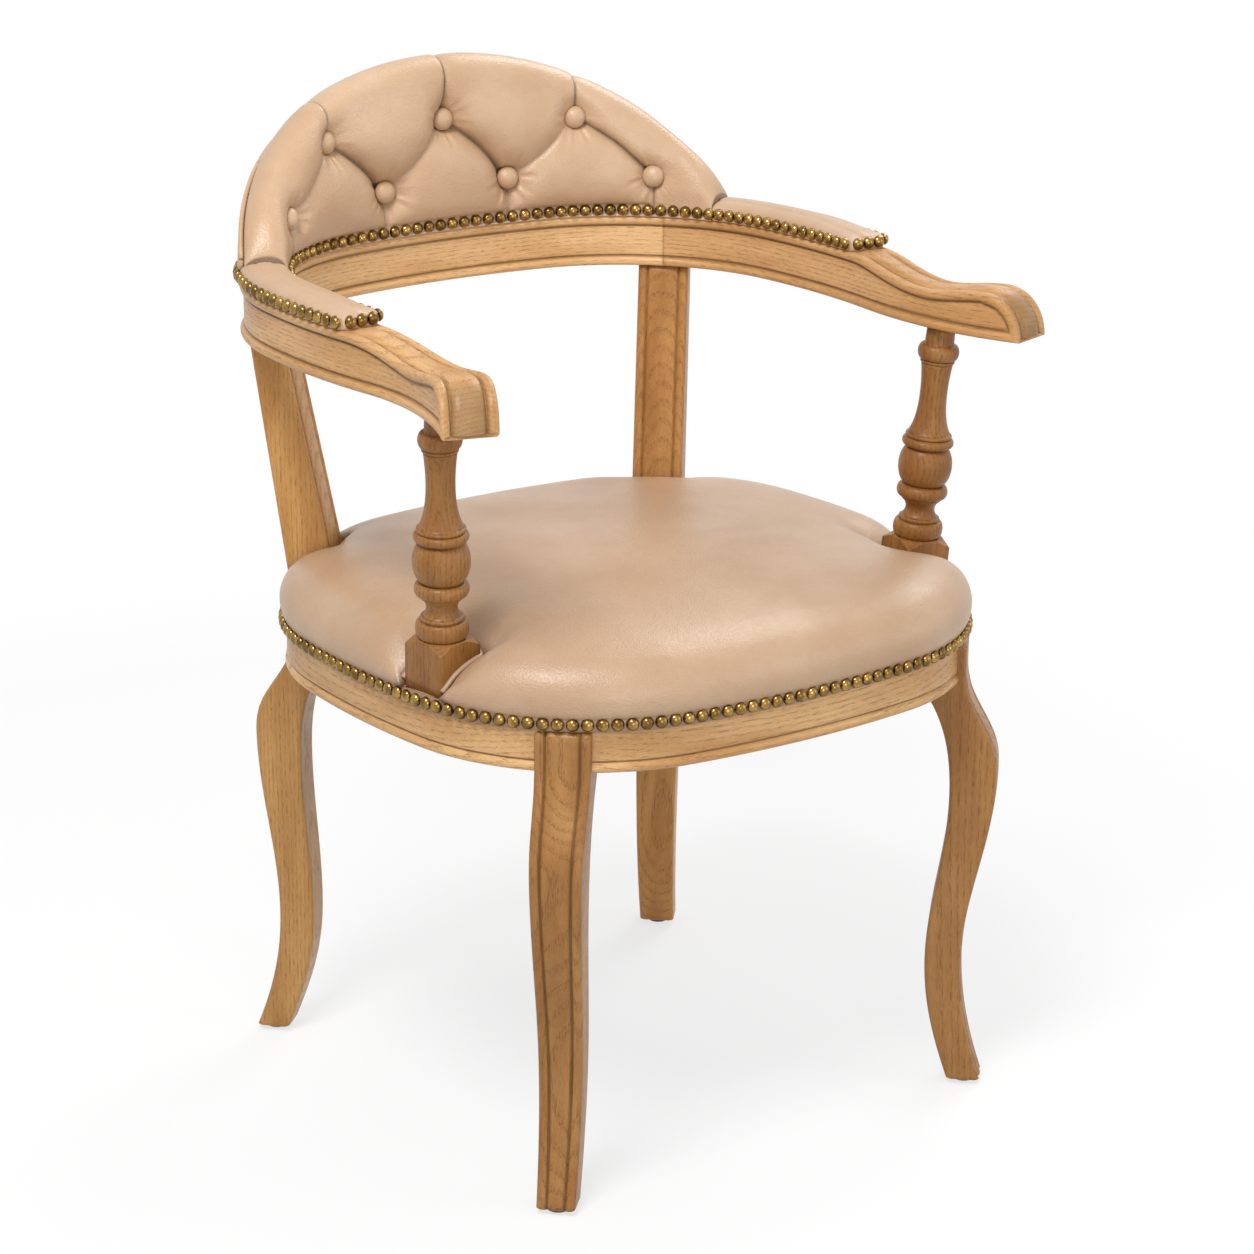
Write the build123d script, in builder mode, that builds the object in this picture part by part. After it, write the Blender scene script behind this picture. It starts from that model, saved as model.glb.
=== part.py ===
from build123d import *
from math import atan2, cos, degrees, radians, sin, sqrt
import os

# Tub armchair in oak with a nailed leather seat, arm pads and a tufted back.
# Millimetres. Z is the height above the floor, the sitter faces -Y, and +X is the sitter's left.

# Seat plan at the rail's outer face: bowed sides and ends with round corners
seat_half_width = 264
seat_half_depth = 244
seat_side_radius = 775
seat_end_radius = 809
seat_corner_radius = 175

# Seat rails
rail_bottom = 359
rail_height = 46
rail_thickness = 34
rail_bead_height = 8
rail_face_depth = 1.5
rail_tenon_thickness = 12
rail_tenon_height = 24
rail_tenon_length = 13

# Height of the strip round the top of the rails that carries the seat's nails
nail_strip_height = 13

# Legs, seen in their own radial planes
front_leg_angle = 44
rear_leg_angle = 47.5
leg_top_width = 44
leg_foot_width = 31
leg_proud = 3
leg_block_depth = 41
leg_shoulder_drop = 22
leg_knee_height = 285
leg_inner_knee_height = 262
leg_ankle_height = 112
leg_knee_depth = 39
leg_ankle_depth = 30
leg_foot_depth = 28
front_knee_reach = 29
front_ankle_reach = 4
front_foot_reach = 24
rear_knee_reach = 34
rear_ankle_reach = 17
rear_foot_reach = 40
glide_foot_radius = 8
glide_sides = 12
glide_height = 4
glide_taper = 35

# Rear posts above the seat
post_top_depth = 28
post_tenon_depth = 14
post_tenon_width = 26
post_tenon_height = 15
post_groove_inset = 8
post_groove_width = 2.5
post_groove_depth = 1.5

# Bow plan at its centre line, and its moulding
bow_half_width = 254
bow_half_depth = 235
bow_side_radius = 583
bow_end_radius = 609
bow_corner_radius = 181
bow_setback = 50
bow_width = 40
bow_bottom = 630
bow_height = 44
moulding_bead = 8
moulding_depth = 2.5

# Arms: they leave the bow's side arc, flare outwards and end in a rolled nose
arm_flare_start = 7.9
arm_flare_radius = 273
arm_flare_turn = 26
nose_cut_turn = 17
nose_overrun = 6
nose_radius = 33
nose_crest_height = 38
arm_dip_height = 32
arm_dip_from_nose = 133
arm_rise_from_nose = 186

# Turned arm posts
arm_post_turn = 8
arm_post_top_from_nose = 92
arm_post_block = 44
arm_post_block_height = 43
arm_post_shoulder_drop = 13
arm_post_tenon_radius = 9
arm_post_tenon_length = 22
base_roll_radius = 21.5
base_roll_height = 17
base_fillet_radius = 17.5
base_fillet_height = 6
roll_bevel = 4.5
turning_sides = 16
cove_radius = 13.2
cove_height = 9
ring_radius = 22.3
ring_height = 14
ball_radius = 23.2
ball_height = 28
shaft_waist_radius = 12.6
shaft_head_radius = 14.8
shaft_height = 62
top_ring_radius = 19
top_ring_height = 15
neck_radius = 15.5

# Seat cushion
cushion_bulge = 3
cushion_profile = (
    (0, 0),
    (14, -cushion_bulge),
    (28, 2),
    (40, 16),
    (50, 50),
    (57, 150),
)
notch_ease = 3

# Seat board, corner blocks and dust cover
board_thickness = 12
corner_block_width = 120
corner_block_depth = 40
corner_block_height = 30
dust_cover_thickness = 1
dust_cover_inset = 12

# Half-moon back: front view of its top edge, and its layers across the bow
back_half_width = 235
back_spring_height = 16
back_rise = 130
back_end_azimuth = 53.5
back_cushion_outside = 16
back_face_bulge = 8
back_top_roll = 14
back_top_lean = 5
back_top_width = 16
outside_back_thickness = 3.7
outside_back_drop = 18

# Uprights inside the back, let into the bow
upright_width = 34
upright_thickness = 11
upright_offset = 7
upright_spacing = 20
upright_rise = 62
upright_tenon = 18

# Buttons: two rows, at their directions from the seat's centre
upper_button_height = 92
lower_button_height = 40
button_spacing = 27
button_radius = 9
button_height = 6
button_taper = 22
button_sides = 12
tuft_depth = 12
pleat_relief = 0.45
pleat_limit = 0.8
bulge_limit = 0.18

# Arm pads
pad_height = 18
pad_bevel = 8
pad_inset = 0.5

# Loose tenons across the joints of the bow and the arms
bow_tenon_length = 50
bow_tenon_thickness = 10
bow_tenon_height = 20
bow_tenon_rise = 19

# Clearances: glued joints, drilled holes, and soft pieces against hard ones
joint_fit = 0.2
soft_fit = 0.3

# Tools cut this far past the faces they open
cut_past = 1
post_overrun = 4

# Heights that follow
rail_top = rail_bottom + rail_height
strip_bottom = rail_top - nail_strip_height
bow_top = bow_bottom + bow_height
board_bottom = rail_top - board_thickness


class BowedPlan:
    """A plan with bowed sides and ends and round corners, centred on its own origin."""

    def __init__(self, half_width, half_depth, side_radius, end_radius, corner_radius):
        self.side_radius = side_radius
        self.end_radius = end_radius
        self.corner_radius = corner_radius
        self.side_centre = Vector(half_width - side_radius, 0)
        self.end_centre = Vector(0, half_depth - end_radius)
        to_side = side_radius - corner_radius
        to_end = end_radius - corner_radius
        between = self.end_centre - self.side_centre
        along = (to_side**2 - to_end**2 + between.length**2) / (2 * between.length)
        across = sqrt(to_side**2 - along**2)
        way = between.normalized()
        self.corner = self.side_centre + way * along + Vector(-way.Y, way.X) * across
        to_corner = self.corner - self.side_centre
        self.side_turn = degrees(atan2(to_corner.Y, to_corner.X))
        to_corner = self.corner - self.end_centre
        self.end_turn = degrees(atan2(to_corner.X, to_corner.Y))
        self.corner_turn = 90 - self.side_turn - self.end_turn

    def outline(self, inset=0):
        """Closed face of the plan, drawn in by inset all round."""
        side, end, corner = self.side_centre, self.end_centre, self.corner
        corner_radius = self.corner_radius - inset
        with BuildSketch() as plan:
            with BuildLine():
                for flip, sign in ((0, 1), (180, -1)):
                    side_start = flip - self.side_turn
                    end_start = flip + 90 - self.end_turn
                    CenterArc(side * sign, self.side_radius - inset, side_start, 2 * self.side_turn)
                    CenterArc(end * sign, self.end_radius - inset, end_start, 2 * self.end_turn)
                    CenterArc(corner * sign, corner_radius, flip + self.side_turn, self.corner_turn)
                    mirrored = Vector(-corner.X * sign, corner.Y * sign)
                    CenterArc(mirrored, corner_radius, flip + 90 + self.end_turn, self.corner_turn)
            make_face()
        return plan.sketch

    def band(self, outer, inner):
        """Ring between two distances outside and inside the plan's own line."""
        return self.outline(-outer) - self.outline(inner)

    def station(self, azimuth, viewpoint):
        """Where a ray from viewpoint, at an azimuth from +Y towards +X, meets the line, with its normal."""
        way = Vector(sin(radians(abs(azimuth))), cos(radians(azimuth)))
        found = None
        for centre, radius in ((self.end_centre, self.end_radius), (self.corner, self.corner_radius)):
            across = viewpoint - centre
            half = across.dot(way)
            reach = -half + sqrt(half**2 - across.dot(across) + radius**2)
            place = viewpoint + way * reach
            turn = degrees(atan2(place.X - self.end_centre.X, place.Y - self.end_centre.Y))
            if found is None or turn > self.end_turn:
                found = (place, (place - centre).normalized())
        place, normal = found
        sign = -1 if azimuth < 0 else 1
        return Vector(place.X * sign, place.Y), Vector(normal.X * sign, normal.Y)

    def reach(self, angle, viewpoint):
        """Distance from viewpoint to the corner arc, at an angle from +X."""
        way = Vector(cos(radians(angle)), sin(radians(angle)))
        across = viewpoint - self.corner
        half = across.dot(way)
        return -half + sqrt(half**2 - across.dot(across) + self.corner_radius**2)


seat_plan = BowedPlan(
    seat_half_width, seat_half_depth, seat_side_radius, seat_end_radius, seat_corner_radius
)
bow_plan = BowedPlan(
    bow_half_width, bow_half_depth, bow_side_radius, bow_end_radius, bow_corner_radius
)
seat_from_bow = Vector(0, -bow_setback)

# Centre of the arm's flare and the middle of its nose, in the bow's plan
flare_start_way = Vector(cos(radians(arm_flare_start)), -sin(radians(arm_flare_start)))
flare_centre = bow_plan.side_centre + flare_start_way * (bow_side_radius + arm_flare_radius)
nose_way = Vector(-cos(radians(arm_flare_turn)), -sin(radians(arm_flare_turn)))
nose_middle = flare_centre + nose_way * arm_flare_radius

# The origin is on the floor under the middle of the chair's box
nose_slant = sin(radians(nose_cut_turn)) / cos(radians(arm_flare_turn - nose_cut_turn))
nose_reach = -(nose_middle.Y + bow_setback) + nose_slant * bow_width / 2
front_reach = max(nose_reach, seat_half_depth + cushion_bulge)
back_reach = bow_setback + bow_half_depth + bow_width / 2
seat_y = (front_reach - back_reach) / 2
seat = Plane((0, seat_y, 0))
bow = Plane((0, seat_y + bow_setback, 0))


def leg_plane(angle):
    """Radial plane of a leg: x outwards from the seat's centre, y up."""
    turn = radians(angle)
    return Plane((0, seat_y, 0), x_dir=(cos(turn), sin(turn), 0), z_dir=(sin(turn), -cos(turn), 0))


def leg_front(angle):
    """Plane facing a leg: x across the leg, y up, its normal outwards from the seat's centre."""
    turn = radians(angle)
    return Plane((0, seat_y, 0), x_dir=(-sin(turn), cos(turn), 0), z_dir=(cos(turn), sin(turn), 0))


front_left = leg_plane(-front_leg_angle)
front_right = leg_plane(180 + front_leg_angle)
rear_left = leg_plane(rear_leg_angle)
rear_right = leg_plane(180 - rear_leg_angle)
front_rail_reach = seat_plan.reach(front_leg_angle, Vector(0, 0))
rear_rail_reach = seat_plan.reach(rear_leg_angle, Vector(0, 0))
front_face = front_rail_reach + leg_proud
rear_face = rear_rail_reach + leg_proud
post_reach = bow_plan.reach(rear_leg_angle, seat_from_bow)
leg_shoulder = strip_bottom - leg_shoulder_drop
tenon_middle = (rail_bottom + strip_bottom) / 2


def leg_outside(face, knee, ankle, foot):
    """Points down a leg's outer edge: shoulder, knee, ankle and foot."""
    return (
        (face, leg_shoulder),
        (face + knee, leg_knee_height),
        (face + ankle, leg_ankle_height),
        (face + foot, glide_height),
    )


def outside_edge(face, knee, ankle, foot):
    """Spline down a leg's outer edge, upright at shoulder, knee and ankle."""
    points = leg_outside(face, knee, ankle, foot)
    ways = ((0, -1), (0, -1), (0, -1), (foot - ankle, -leg_ankle_height / 2))
    return Spline(*points, tangents=ways, mode=Mode.PRIVATE)


def leg_blank(plane, facing, face, reaches, top):
    """S-shaped leg, tapered across, with its rebate and mortises. top closes it above."""
    knee, ankle, foot = reaches
    inner_face = face - leg_block_depth
    top_width = leg_top_width / 2
    foot_width = leg_foot_width / 2
    with BuildPart() as leg:
        with BuildSketch(plane):
            with BuildLine():
                add(outside_edge(face, knee, ankle, foot))
                Line((face + foot, glide_height), (face + foot - leg_foot_depth, glide_height))
                Spline(
                    (face + foot - leg_foot_depth, glide_height),
                    (face + ankle - leg_ankle_depth, leg_ankle_height),
                    (face + knee - leg_knee_depth, leg_inner_knee_height),
                    (inner_face, rail_bottom),
                    tangents=(
                        (ankle - foot, leg_ankle_height / 2),
                        (0, 1),
                        (0, 1),
                        (-1, 1),
                    ),
                )
                Polyline((inner_face, rail_bottom), *top, (face, leg_shoulder))
            make_face()
        extrude(amount=leg_top_width / 2, both=True)
        with BuildSketch(facing):
            with BuildLine():
                Polyline(
                    (foot_width, glide_height),
                    (top_width, rail_bottom),
                    (top_width, bow_top),
                    (-top_width, bow_top),
                    (-top_width, rail_bottom),
                    (-foot_width, glide_height),
                    close=True,
                )
            make_face()
        extrude(amount=2 * face, mode=Mode.INTERSECT)
        # Rebate that lets the nailed strip run past the leg
        with BuildSketch(seat.offset(strip_bottom)):
            Rectangle(4 * seat_half_width, 4 * seat_half_depth)
            add(seat_plan.outline(rail_face_depth), mode=Mode.SUBTRACT)
        extrude(amount=nail_strip_height, mode=Mode.SUBTRACT)
        # Mortises for the two rails
        reach = face - leg_proud - rail_thickness / 2
        for side in (-1, 1):
            with BuildSketch(plane.offset(side * leg_top_width / 2)):
                with Locations((reach, tenon_middle)):
                    Rectangle(rail_tenon_thickness + 2 * joint_fit, rail_tenon_height + 2 * joint_fit)
            extrude(amount=-side * (rail_tenon_length + joint_fit), mode=Mode.SUBTRACT)
    return leg.part


front_reaches = (front_knee_reach, front_ankle_reach, front_foot_reach)
rear_reaches = (rear_knee_reach, rear_ankle_reach, rear_foot_reach)
front_top = ((front_face - leg_block_depth, rail_top), (front_face, rail_top))
rear_top = (
    (rear_face - leg_block_depth, rail_top),
    (post_reach - post_top_depth / 2, bow_bottom),
    (post_reach + post_top_depth / 2, bow_bottom),
    (rear_face, rail_top),
)

# Front legs
with BuildPart() as front_leg_left:
    add(leg_blank(front_left, leg_front(-front_leg_angle), front_face, front_reaches, front_top))
with BuildPart() as front_leg_right:
    mirror(front_leg_left.part, about=Plane.YZ)

# Grooves up both faces of a rear post, two on each
(inner_foot, inner_head, outer_head, outer_foot) = [Vector(*point) for point in rear_top]
with BuildPart() as post_grooves:
    with BuildSketch(rear_left):
        for foot, head, way in ((inner_foot, inner_head, 1), (outer_foot, outer_head, -1)):
            past = Vector(-way * cut_past, 0)
            deep = Vector(way * post_groove_depth, 0)
            with BuildLine():
                Polyline(foot + past, foot + deep, head + deep, head + past, close=True)
            make_face()
    extrude(amount=leg_top_width, both=True)
    with BuildSketch(leg_front(rear_leg_angle)):
        for side in (-1, 1):
            with Locations((side * (leg_top_width / 2 - post_groove_inset), rail_top)):
                Rectangle(post_groove_width, bow_bottom - rail_top, align=(Align.CENTER, Align.MIN))
    extrude(amount=2 * rear_face, mode=Mode.INTERSECT)

# Rear legs, which run up as posts and end in a tenon under the bow
with BuildPart() as rear_leg_left:
    add(leg_blank(rear_left, leg_front(rear_leg_angle), rear_face, rear_reaches, rear_top))
    add(post_grooves.part, mode=Mode.SUBTRACT)
    with BuildSketch(rear_left):
        with Locations((post_reach, bow_bottom)):
            Rectangle(post_tenon_depth, post_tenon_height, align=(Align.CENTER, Align.MIN))
    extrude(amount=post_tenon_width / 2, both=True)
with BuildPart() as rear_leg_right:
    mirror(rear_leg_left.part, about=Plane.YZ)

# Seat frame before it is cut into rails: a bead and the face over it
bead_top = rail_bottom + rail_bead_height
rail_layers = (
    (rail_bottom, bead_top, 0),
    (bead_top, rail_top, rail_face_depth),
)
with BuildPart() as rail_ring:
    for bottom, top, inset in rail_layers:
        with BuildSketch(seat.offset(bottom)):
            add(seat_plan.band(-inset, rail_thickness))
        extrude(amount=top - bottom)


def seat_rail(first, first_reach, last, last_reach):
    """Rail from the first leg's forward side to the last leg's backward side, with a tenon at each end."""
    ends = ((first, first_reach, 1, Keep.TOP), (last, last_reach, -1, Keep.BOTTOM))
    with BuildPart() as rail:
        add(rail_ring.part)
        for plane, reach, side, keep in ends:
            split(bisect_by=plane.offset(side * leg_top_width / 2), keep=keep)
        for plane, reach, side, keep in ends:
            with BuildSketch(plane.offset(side * leg_top_width / 2)):
                with Locations((reach - rail_thickness / 2, tenon_middle)):
                    Rectangle(rail_tenon_thickness, rail_tenon_height)
            extrude(amount=-side * rail_tenon_length)
    return rail.part


# Turned arm post: a leaning axis from its block on the side rail to its socket under the arm
block_way = Vector(cos(radians(arm_post_turn)), -sin(radians(arm_post_turn)))
seat_corner_front = Vector(seat_plan.corner.X, -seat_plan.corner.Y)
block_middle = seat_corner_front + block_way * (seat_corner_radius - arm_post_block / 2)
post_turn = radians(arm_flare_turn - degrees(arm_post_top_from_nose / arm_flare_radius))
socket_middle = flare_centre + Vector(-cos(post_turn), -sin(post_turn)) * arm_flare_radius
post_foot = Vector(block_middle.X, block_middle.Y + seat_y, rail_top)
post_head = Vector(socket_middle.X, socket_middle.Y + seat_y + bow_setback, bow_bottom)
post_axis = (post_head - post_foot).normalized()
post_length = (post_head - post_foot).length
post_across = (block_way - post_axis * block_way.dot(post_axis)).normalized()
post_section = Plane(post_foot, x_dir=post_across, z_dir=post_across.cross(post_axis))
post_plane = Plane(post_foot, x_dir=post_across, z_dir=post_axis)


def roll(radius, bottom, height):
    """Middle of a turned roll: its full width between two bevels."""
    return (radius, bottom + roll_bevel), (radius, bottom + height - roll_bevel)


# Heights up the turning, and its outline from the block to the neck
base_top = arm_post_block_height + base_roll_height
fillet_top = base_top + base_fillet_height
cove_top = fillet_top + cove_height
lower_ring_top = cove_top + ring_height
ball_top = lower_ring_top + ball_height
upper_ring_top = ball_top + ring_height
shaft_top = upper_ring_top + shaft_height
top_ring_top = shaft_top + top_ring_height
ring_edge = ring_radius - roll_bevel
turning = (
    (base_roll_radius - roll_bevel, arm_post_block_height),
    *roll(base_roll_radius, arm_post_block_height, base_roll_height),
    (base_fillet_radius, base_top),
    (base_fillet_radius, fillet_top),
    (cove_radius, (fillet_top + cove_top) / 2),
    (ring_edge, cove_top),
    *roll(ring_radius, cove_top, ring_height),
    (ring_edge, lower_ring_top),
    *roll(ball_radius, lower_ring_top, ball_height),
    (ring_edge, ball_top),
    *roll(ring_radius, ball_top, ring_height),
    (ring_edge, upper_ring_top),
    (shaft_waist_radius, upper_ring_top + shaft_height / 2),
    (shaft_head_radius, shaft_top),
    *roll(top_ring_radius, shaft_top, top_ring_height),
    (neck_radius, top_ring_top),
    (neck_radius, post_length + post_overrun),
)

with BuildPart() as arm_post_left:
    with BuildSketch(post_plane.offset(-post_overrun)):
        Rectangle(arm_post_block, arm_post_block)
    extrude(amount=post_overrun + arm_post_block_height)
    # The turned shoulder rounds off the block's corners
    with BuildSketch(post_section):
        with BuildLine():
            block_corner = arm_post_block * sqrt(2) / 2
            Polyline(
                (0, -post_overrun),
                (block_corner, -post_overrun),
                (block_corner, arm_post_block_height - arm_post_shoulder_drop),
                (base_roll_radius, arm_post_block_height),
                (0, arm_post_block_height),
                close=True,
            )
        make_face()
    revolve(axis=Axis(post_foot, post_axis), mode=Mode.INTERSECT)
    # Rolls, cove, broad middle roll and waisted shaft
    for (radius, height), (next_radius, next_height) in zip(turning, turning[1:]):
        band = next_height - height
        slope = degrees(atan2((radius - next_radius) * cos(radians(180 / turning_sides)), band))
        with BuildSketch(post_plane.offset(height)):
            RegularPolygon(radius, turning_sides)
        extrude(amount=band, taper=slope)
    split(bisect_by=Plane.XY.offset(rail_top), keep=Keep.TOP)
    split(bisect_by=Plane.XY.offset(bow_bottom), keep=Keep.BOTTOM)
    # Round tenons into the rail and into the arm
    with BuildSketch(post_plane.offset(-arm_post_tenon_length)):
        Circle(arm_post_tenon_radius)
    extrude(amount=post_length + 2 * arm_post_tenon_length)
with BuildPart() as arm_post_right:
    mirror(arm_post_left.part, about=Plane.YZ)

# Sockets of the arm post, cut from the side rail and from the arm
with BuildPart() as post_sockets:
    with BuildSketch(post_plane.offset(-arm_post_tenon_length - joint_fit)):
        Circle(arm_post_tenon_radius + joint_fit)
    extrude(amount=post_length + 2 * (arm_post_tenon_length + joint_fit))

# Seat rails
with BuildPart() as seat_rail_front:
    add(seat_rail(front_left, front_rail_reach, front_right, front_rail_reach))
with BuildPart() as seat_rail_back:
    add(seat_rail(rear_right, rear_rail_reach, rear_left, rear_rail_reach))
with BuildPart() as seat_rail_left:
    add(seat_rail(rear_left, rear_rail_reach, front_left, front_rail_reach))
    add(post_sockets.part, mode=Mode.SUBTRACT)
with BuildPart() as seat_rail_right:
    mirror(seat_rail_left.part, about=Plane.YZ)

# Where each leg stands: its angle in plan and the reach of its outer face
legs = {
    "front_left": (-front_leg_angle, front_face),
    "front_right": (180 + front_leg_angle, front_face),
    "rear_left": (rear_leg_angle, rear_face),
    "rear_right": (180 - rear_leg_angle, rear_face),
}


def leg_footprint(angle, face, clearance):
    """Plan rectangle of a leg's block, with clearance on its sides and inner face."""
    with BuildSketch() as footprint:
        with Locations(Rotation(0, 0, angle) * Pos(face - leg_block_depth - clearance, 0)):
            Rectangle(
                leg_block_depth * 2, leg_top_width + 2 * clearance, align=(Align.MIN, Align.CENTER)
            )
    return footprint.sketch


def corner_block(angle, face):
    """Block in the corner behind a leg, fitted to the rails."""
    chord = face - leg_block_depth - corner_block_depth
    with BuildPart() as block:
        with BuildSketch(seat.offset(board_bottom - corner_block_height)):
            add(seat_plan.outline(rail_thickness))
            with Locations(Rotation(0, 0, angle) * Pos(chord, 0)):
                Rectangle(
                    2 * corner_block_depth + leg_block_depth,
                    corner_block_width,
                    align=(Align.MIN, Align.CENTER),
                    mode=Mode.INTERSECT,
                )
            add(leg_footprint(angle, face, 0), mode=Mode.SUBTRACT)
        extrude(amount=corner_block_height)
    return block.part


# Corner blocks
with BuildPart() as corner_block_front_left:
    add(corner_block(*legs["front_left"]))
with BuildPart() as corner_block_front_right:
    add(corner_block(*legs["front_right"]))
with BuildPart() as corner_block_rear_left:
    add(corner_block(*legs["rear_left"]))
with BuildPart() as corner_block_rear_right:
    add(corner_block(*legs["rear_right"]))

# Seat board, flush with the rails' top edge and notched for the legs
with BuildPart() as seat_board:
    with BuildSketch(seat.offset(board_bottom)):
        add(seat_plan.outline(rail_thickness + joint_fit))
        for angle, face in legs.values():
            add(leg_footprint(angle, face, joint_fit), mode=Mode.SUBTRACT)
    extrude(amount=board_thickness)

# Dust cover under the rails
with BuildPart() as dust_cover:
    with BuildSketch(seat.offset(rail_bottom)):
        add(seat_plan.outline(dust_cover_inset))
        for angle, face in legs.values():
            add(leg_footprint(angle, face, joint_fit), mode=Mode.SUBTRACT)
    extrude(amount=-dust_cover_thickness)

# Foot glides, each a low dome under a leg's foot
with BuildPart() as glides:
    for angle, face in legs.values():
        foot = front_foot_reach if face == front_face else rear_foot_reach
        with BuildSketch(seat):
            with PolarLocations(face + foot - leg_foot_depth / 2, 1, angle):
                RegularPolygon(glide_foot_radius, glide_sides)
        extrude(amount=glide_height, taper=-glide_taper)

# Domed seat cushion
with BuildPart() as seat_cushion:
    for height, inset in cushion_profile:
        with BuildSketch(seat.offset(rail_top + height)):
            add(seat_plan.outline(inset))
    loft(ruled=True)
    # Notches round the arm posts' blocks and round the rear posts
    with BuildSketch(seat.offset(rail_top)):
        for sign, turn in ((1, -arm_post_turn), (-1, 180 + arm_post_turn)):
            with Locations(Location((sign * block_middle.X, block_middle.Y), turn)):
                with Locations((-arm_post_block / 2 - notch_ease, 0)):
                    Rectangle(
                        2 * arm_post_block,
                        arm_post_block + 2 * notch_ease,
                        align=(Align.MIN, Align.CENTER),
                    )
        add(leg_footprint(rear_leg_angle, rear_face, soft_fit))
        add(leg_footprint(180 - rear_leg_angle, rear_face, soft_fit))
    extrude(amount=arm_post_block + cushion_profile[-1][0], mode=Mode.SUBTRACT)


def arm_band(half_width):
    """Plan of the left arm from the bow's corner to past its nose, at half_width each side of its line."""
    bow_side, bow_corner = bow_plan.side_centre, bow_plan.corner
    corner_end = 90 - bow_plan.end_turn
    nose_end = 180 + arm_flare_turn + nose_overrun
    with BuildSketch() as band:
        with BuildLine():
            ends = []
            for side in (half_width, -half_width):
                side_arc_turn = arm_flare_start + bow_plan.side_turn
                flare_arc_turn = nose_end - 180 + arm_flare_start
                back = CenterArc(
                    bow_corner, bow_corner_radius + side, bow_plan.side_turn, bow_plan.corner_turn
                )
                CenterArc(bow_side, bow_side_radius + side, -arm_flare_start, side_arc_turn)
                nose = CenterArc(
                    flare_centre, arm_flare_radius - side, 180 - arm_flare_start, flare_arc_turn
                )
                ends.append((back @ 1, nose @ 1))
            Line(ends[0][0], ends[1][0])
            Line(ends[0][1], ends[1][1])
        make_face()
    return band.sketch


# Side view of the arm: x is the distance back from the nose's front, y is height
nose_turn = radians(nose_cut_turn)
nose_place = (nose_middle.X, nose_middle.Y + seat_y + bow_setback, 0)
arm_middle = Plane(
    nose_place,
    x_dir=(-sin(nose_turn), cos(nose_turn), 0),
    z_dir=(cos(nose_turn), sin(nose_turn), 0),
)
arm_side = arm_middle.offset(-2 * bow_half_width)
arm_overrun = 2 * bow_half_depth + 2 * bow_setback
crest = bow_bottom + nose_crest_height
dip = bow_bottom + arm_dip_height


def arm_profile(inset):
    """Side view of the arm, its top drawn in by inset: rolled nose, dip, then the level under the pad."""
    with BuildSketch() as profile:
        with BuildLine():
            CenterArc((nose_radius, crest - nose_radius), nose_radius - inset, 180, -90)
            Spline(
                (nose_radius, crest - inset),
                (arm_dip_from_nose, dip - inset),
                (arm_rise_from_nose, bow_top - inset),
                tangents=((1, 0), (1, 0), (1, 0)),
            )
            Polyline(
                (arm_rise_from_nose, bow_top - inset),
                (arm_overrun, bow_top - inset),
                (arm_overrun, bow_bottom),
                (inset, bow_bottom),
                (inset, crest - nose_radius),
            )
        make_face()
    return profile.sketch


# Sunk panels along both sides of the arm
with BuildPart() as arm_panels:
    with BuildSketch(bow.offset(bow_bottom + moulding_bead)):
        add(arm_band(bow_width / 2 + cut_past))
        add(arm_band(bow_width / 2 - moulding_depth), mode=Mode.SUBTRACT)
    extrude(amount=bow_height)
    with BuildSketch(arm_side):
        add(arm_profile(moulding_bead))
    extrude(amount=4 * bow_half_width, mode=Mode.INTERSECT)

# Mortise of the rear post, and the slot of the loose tenon over it
with BuildPart() as joint_slots:
    with BuildSketch(rear_left):
        with Locations((post_reach, bow_bottom)):
            Rectangle(
                post_tenon_depth + 2 * joint_fit,
                post_tenon_height + joint_fit,
                align=(Align.CENTER, Align.MIN),
            )
    extrude(amount=post_tenon_width / 2 + joint_fit, both=True)
    with BuildSketch(rear_left):
        with Locations((post_reach, bow_bottom + bow_tenon_rise)):
            Rectangle(
                bow_tenon_thickness + 2 * joint_fit,
                bow_tenon_height + 2 * joint_fit,
                align=(Align.CENTER, Align.MIN),
            )
    extrude(amount=bow_tenon_length / 2 + joint_fit, both=True)

# Arms
with BuildPart() as arm_left:
    with BuildSketch(bow.offset(bow_bottom)):
        add(arm_band(bow_width / 2))
    extrude(amount=bow_height)
    with BuildSketch(arm_side):
        add(arm_profile(0))
    extrude(amount=4 * bow_half_width, mode=Mode.INTERSECT)
    split(bisect_by=rear_left, keep=Keep.TOP)
    add(arm_panels.part, mode=Mode.SUBTRACT)
    add(joint_slots.part, mode=Mode.SUBTRACT)
    add(post_sockets.part, mode=Mode.SUBTRACT)
with BuildPart() as arm_right:
    mirror(arm_left.part, about=Plane.YZ)

# Uprights in the back: boards on edge, let into the bow and standing inside the cushion
def bow_station(azimuth):
    """Upright plane across the bow: x outwards, y up from the bow's top."""
    place, normal = bow_plan.station(azimuth, seat_from_bow)
    origin = (place.X, place.Y + seat_y + bow_setback, bow_top)
    return Plane(origin, x_dir=(normal.X, normal.Y, 0), z_dir=(normal.Y, -normal.X, 0))


upright_planes = [bow_station(step * upright_spacing) for step in (-1.5, -0.5, 0.5, 1.5)]


def uprights(bottom, top, clearance):
    """The uprights between two heights over the bow's top, swelled by clearance."""
    with BuildPart() as boards:
        for plane in upright_planes:
            with BuildSketch(plane):
                with Locations((upright_offset, bottom - clearance)):
                    Rectangle(
                        upright_thickness + 2 * clearance,
                        top - bottom + clearance,
                        align=(Align.CENTER, Align.MIN),
                    )
            extrude(amount=upright_width / 2 + clearance, both=True)
    return boards.part


with BuildPart() as back_uprights:
    add(uprights(-upright_tenon, upright_rise, 0))

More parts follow.
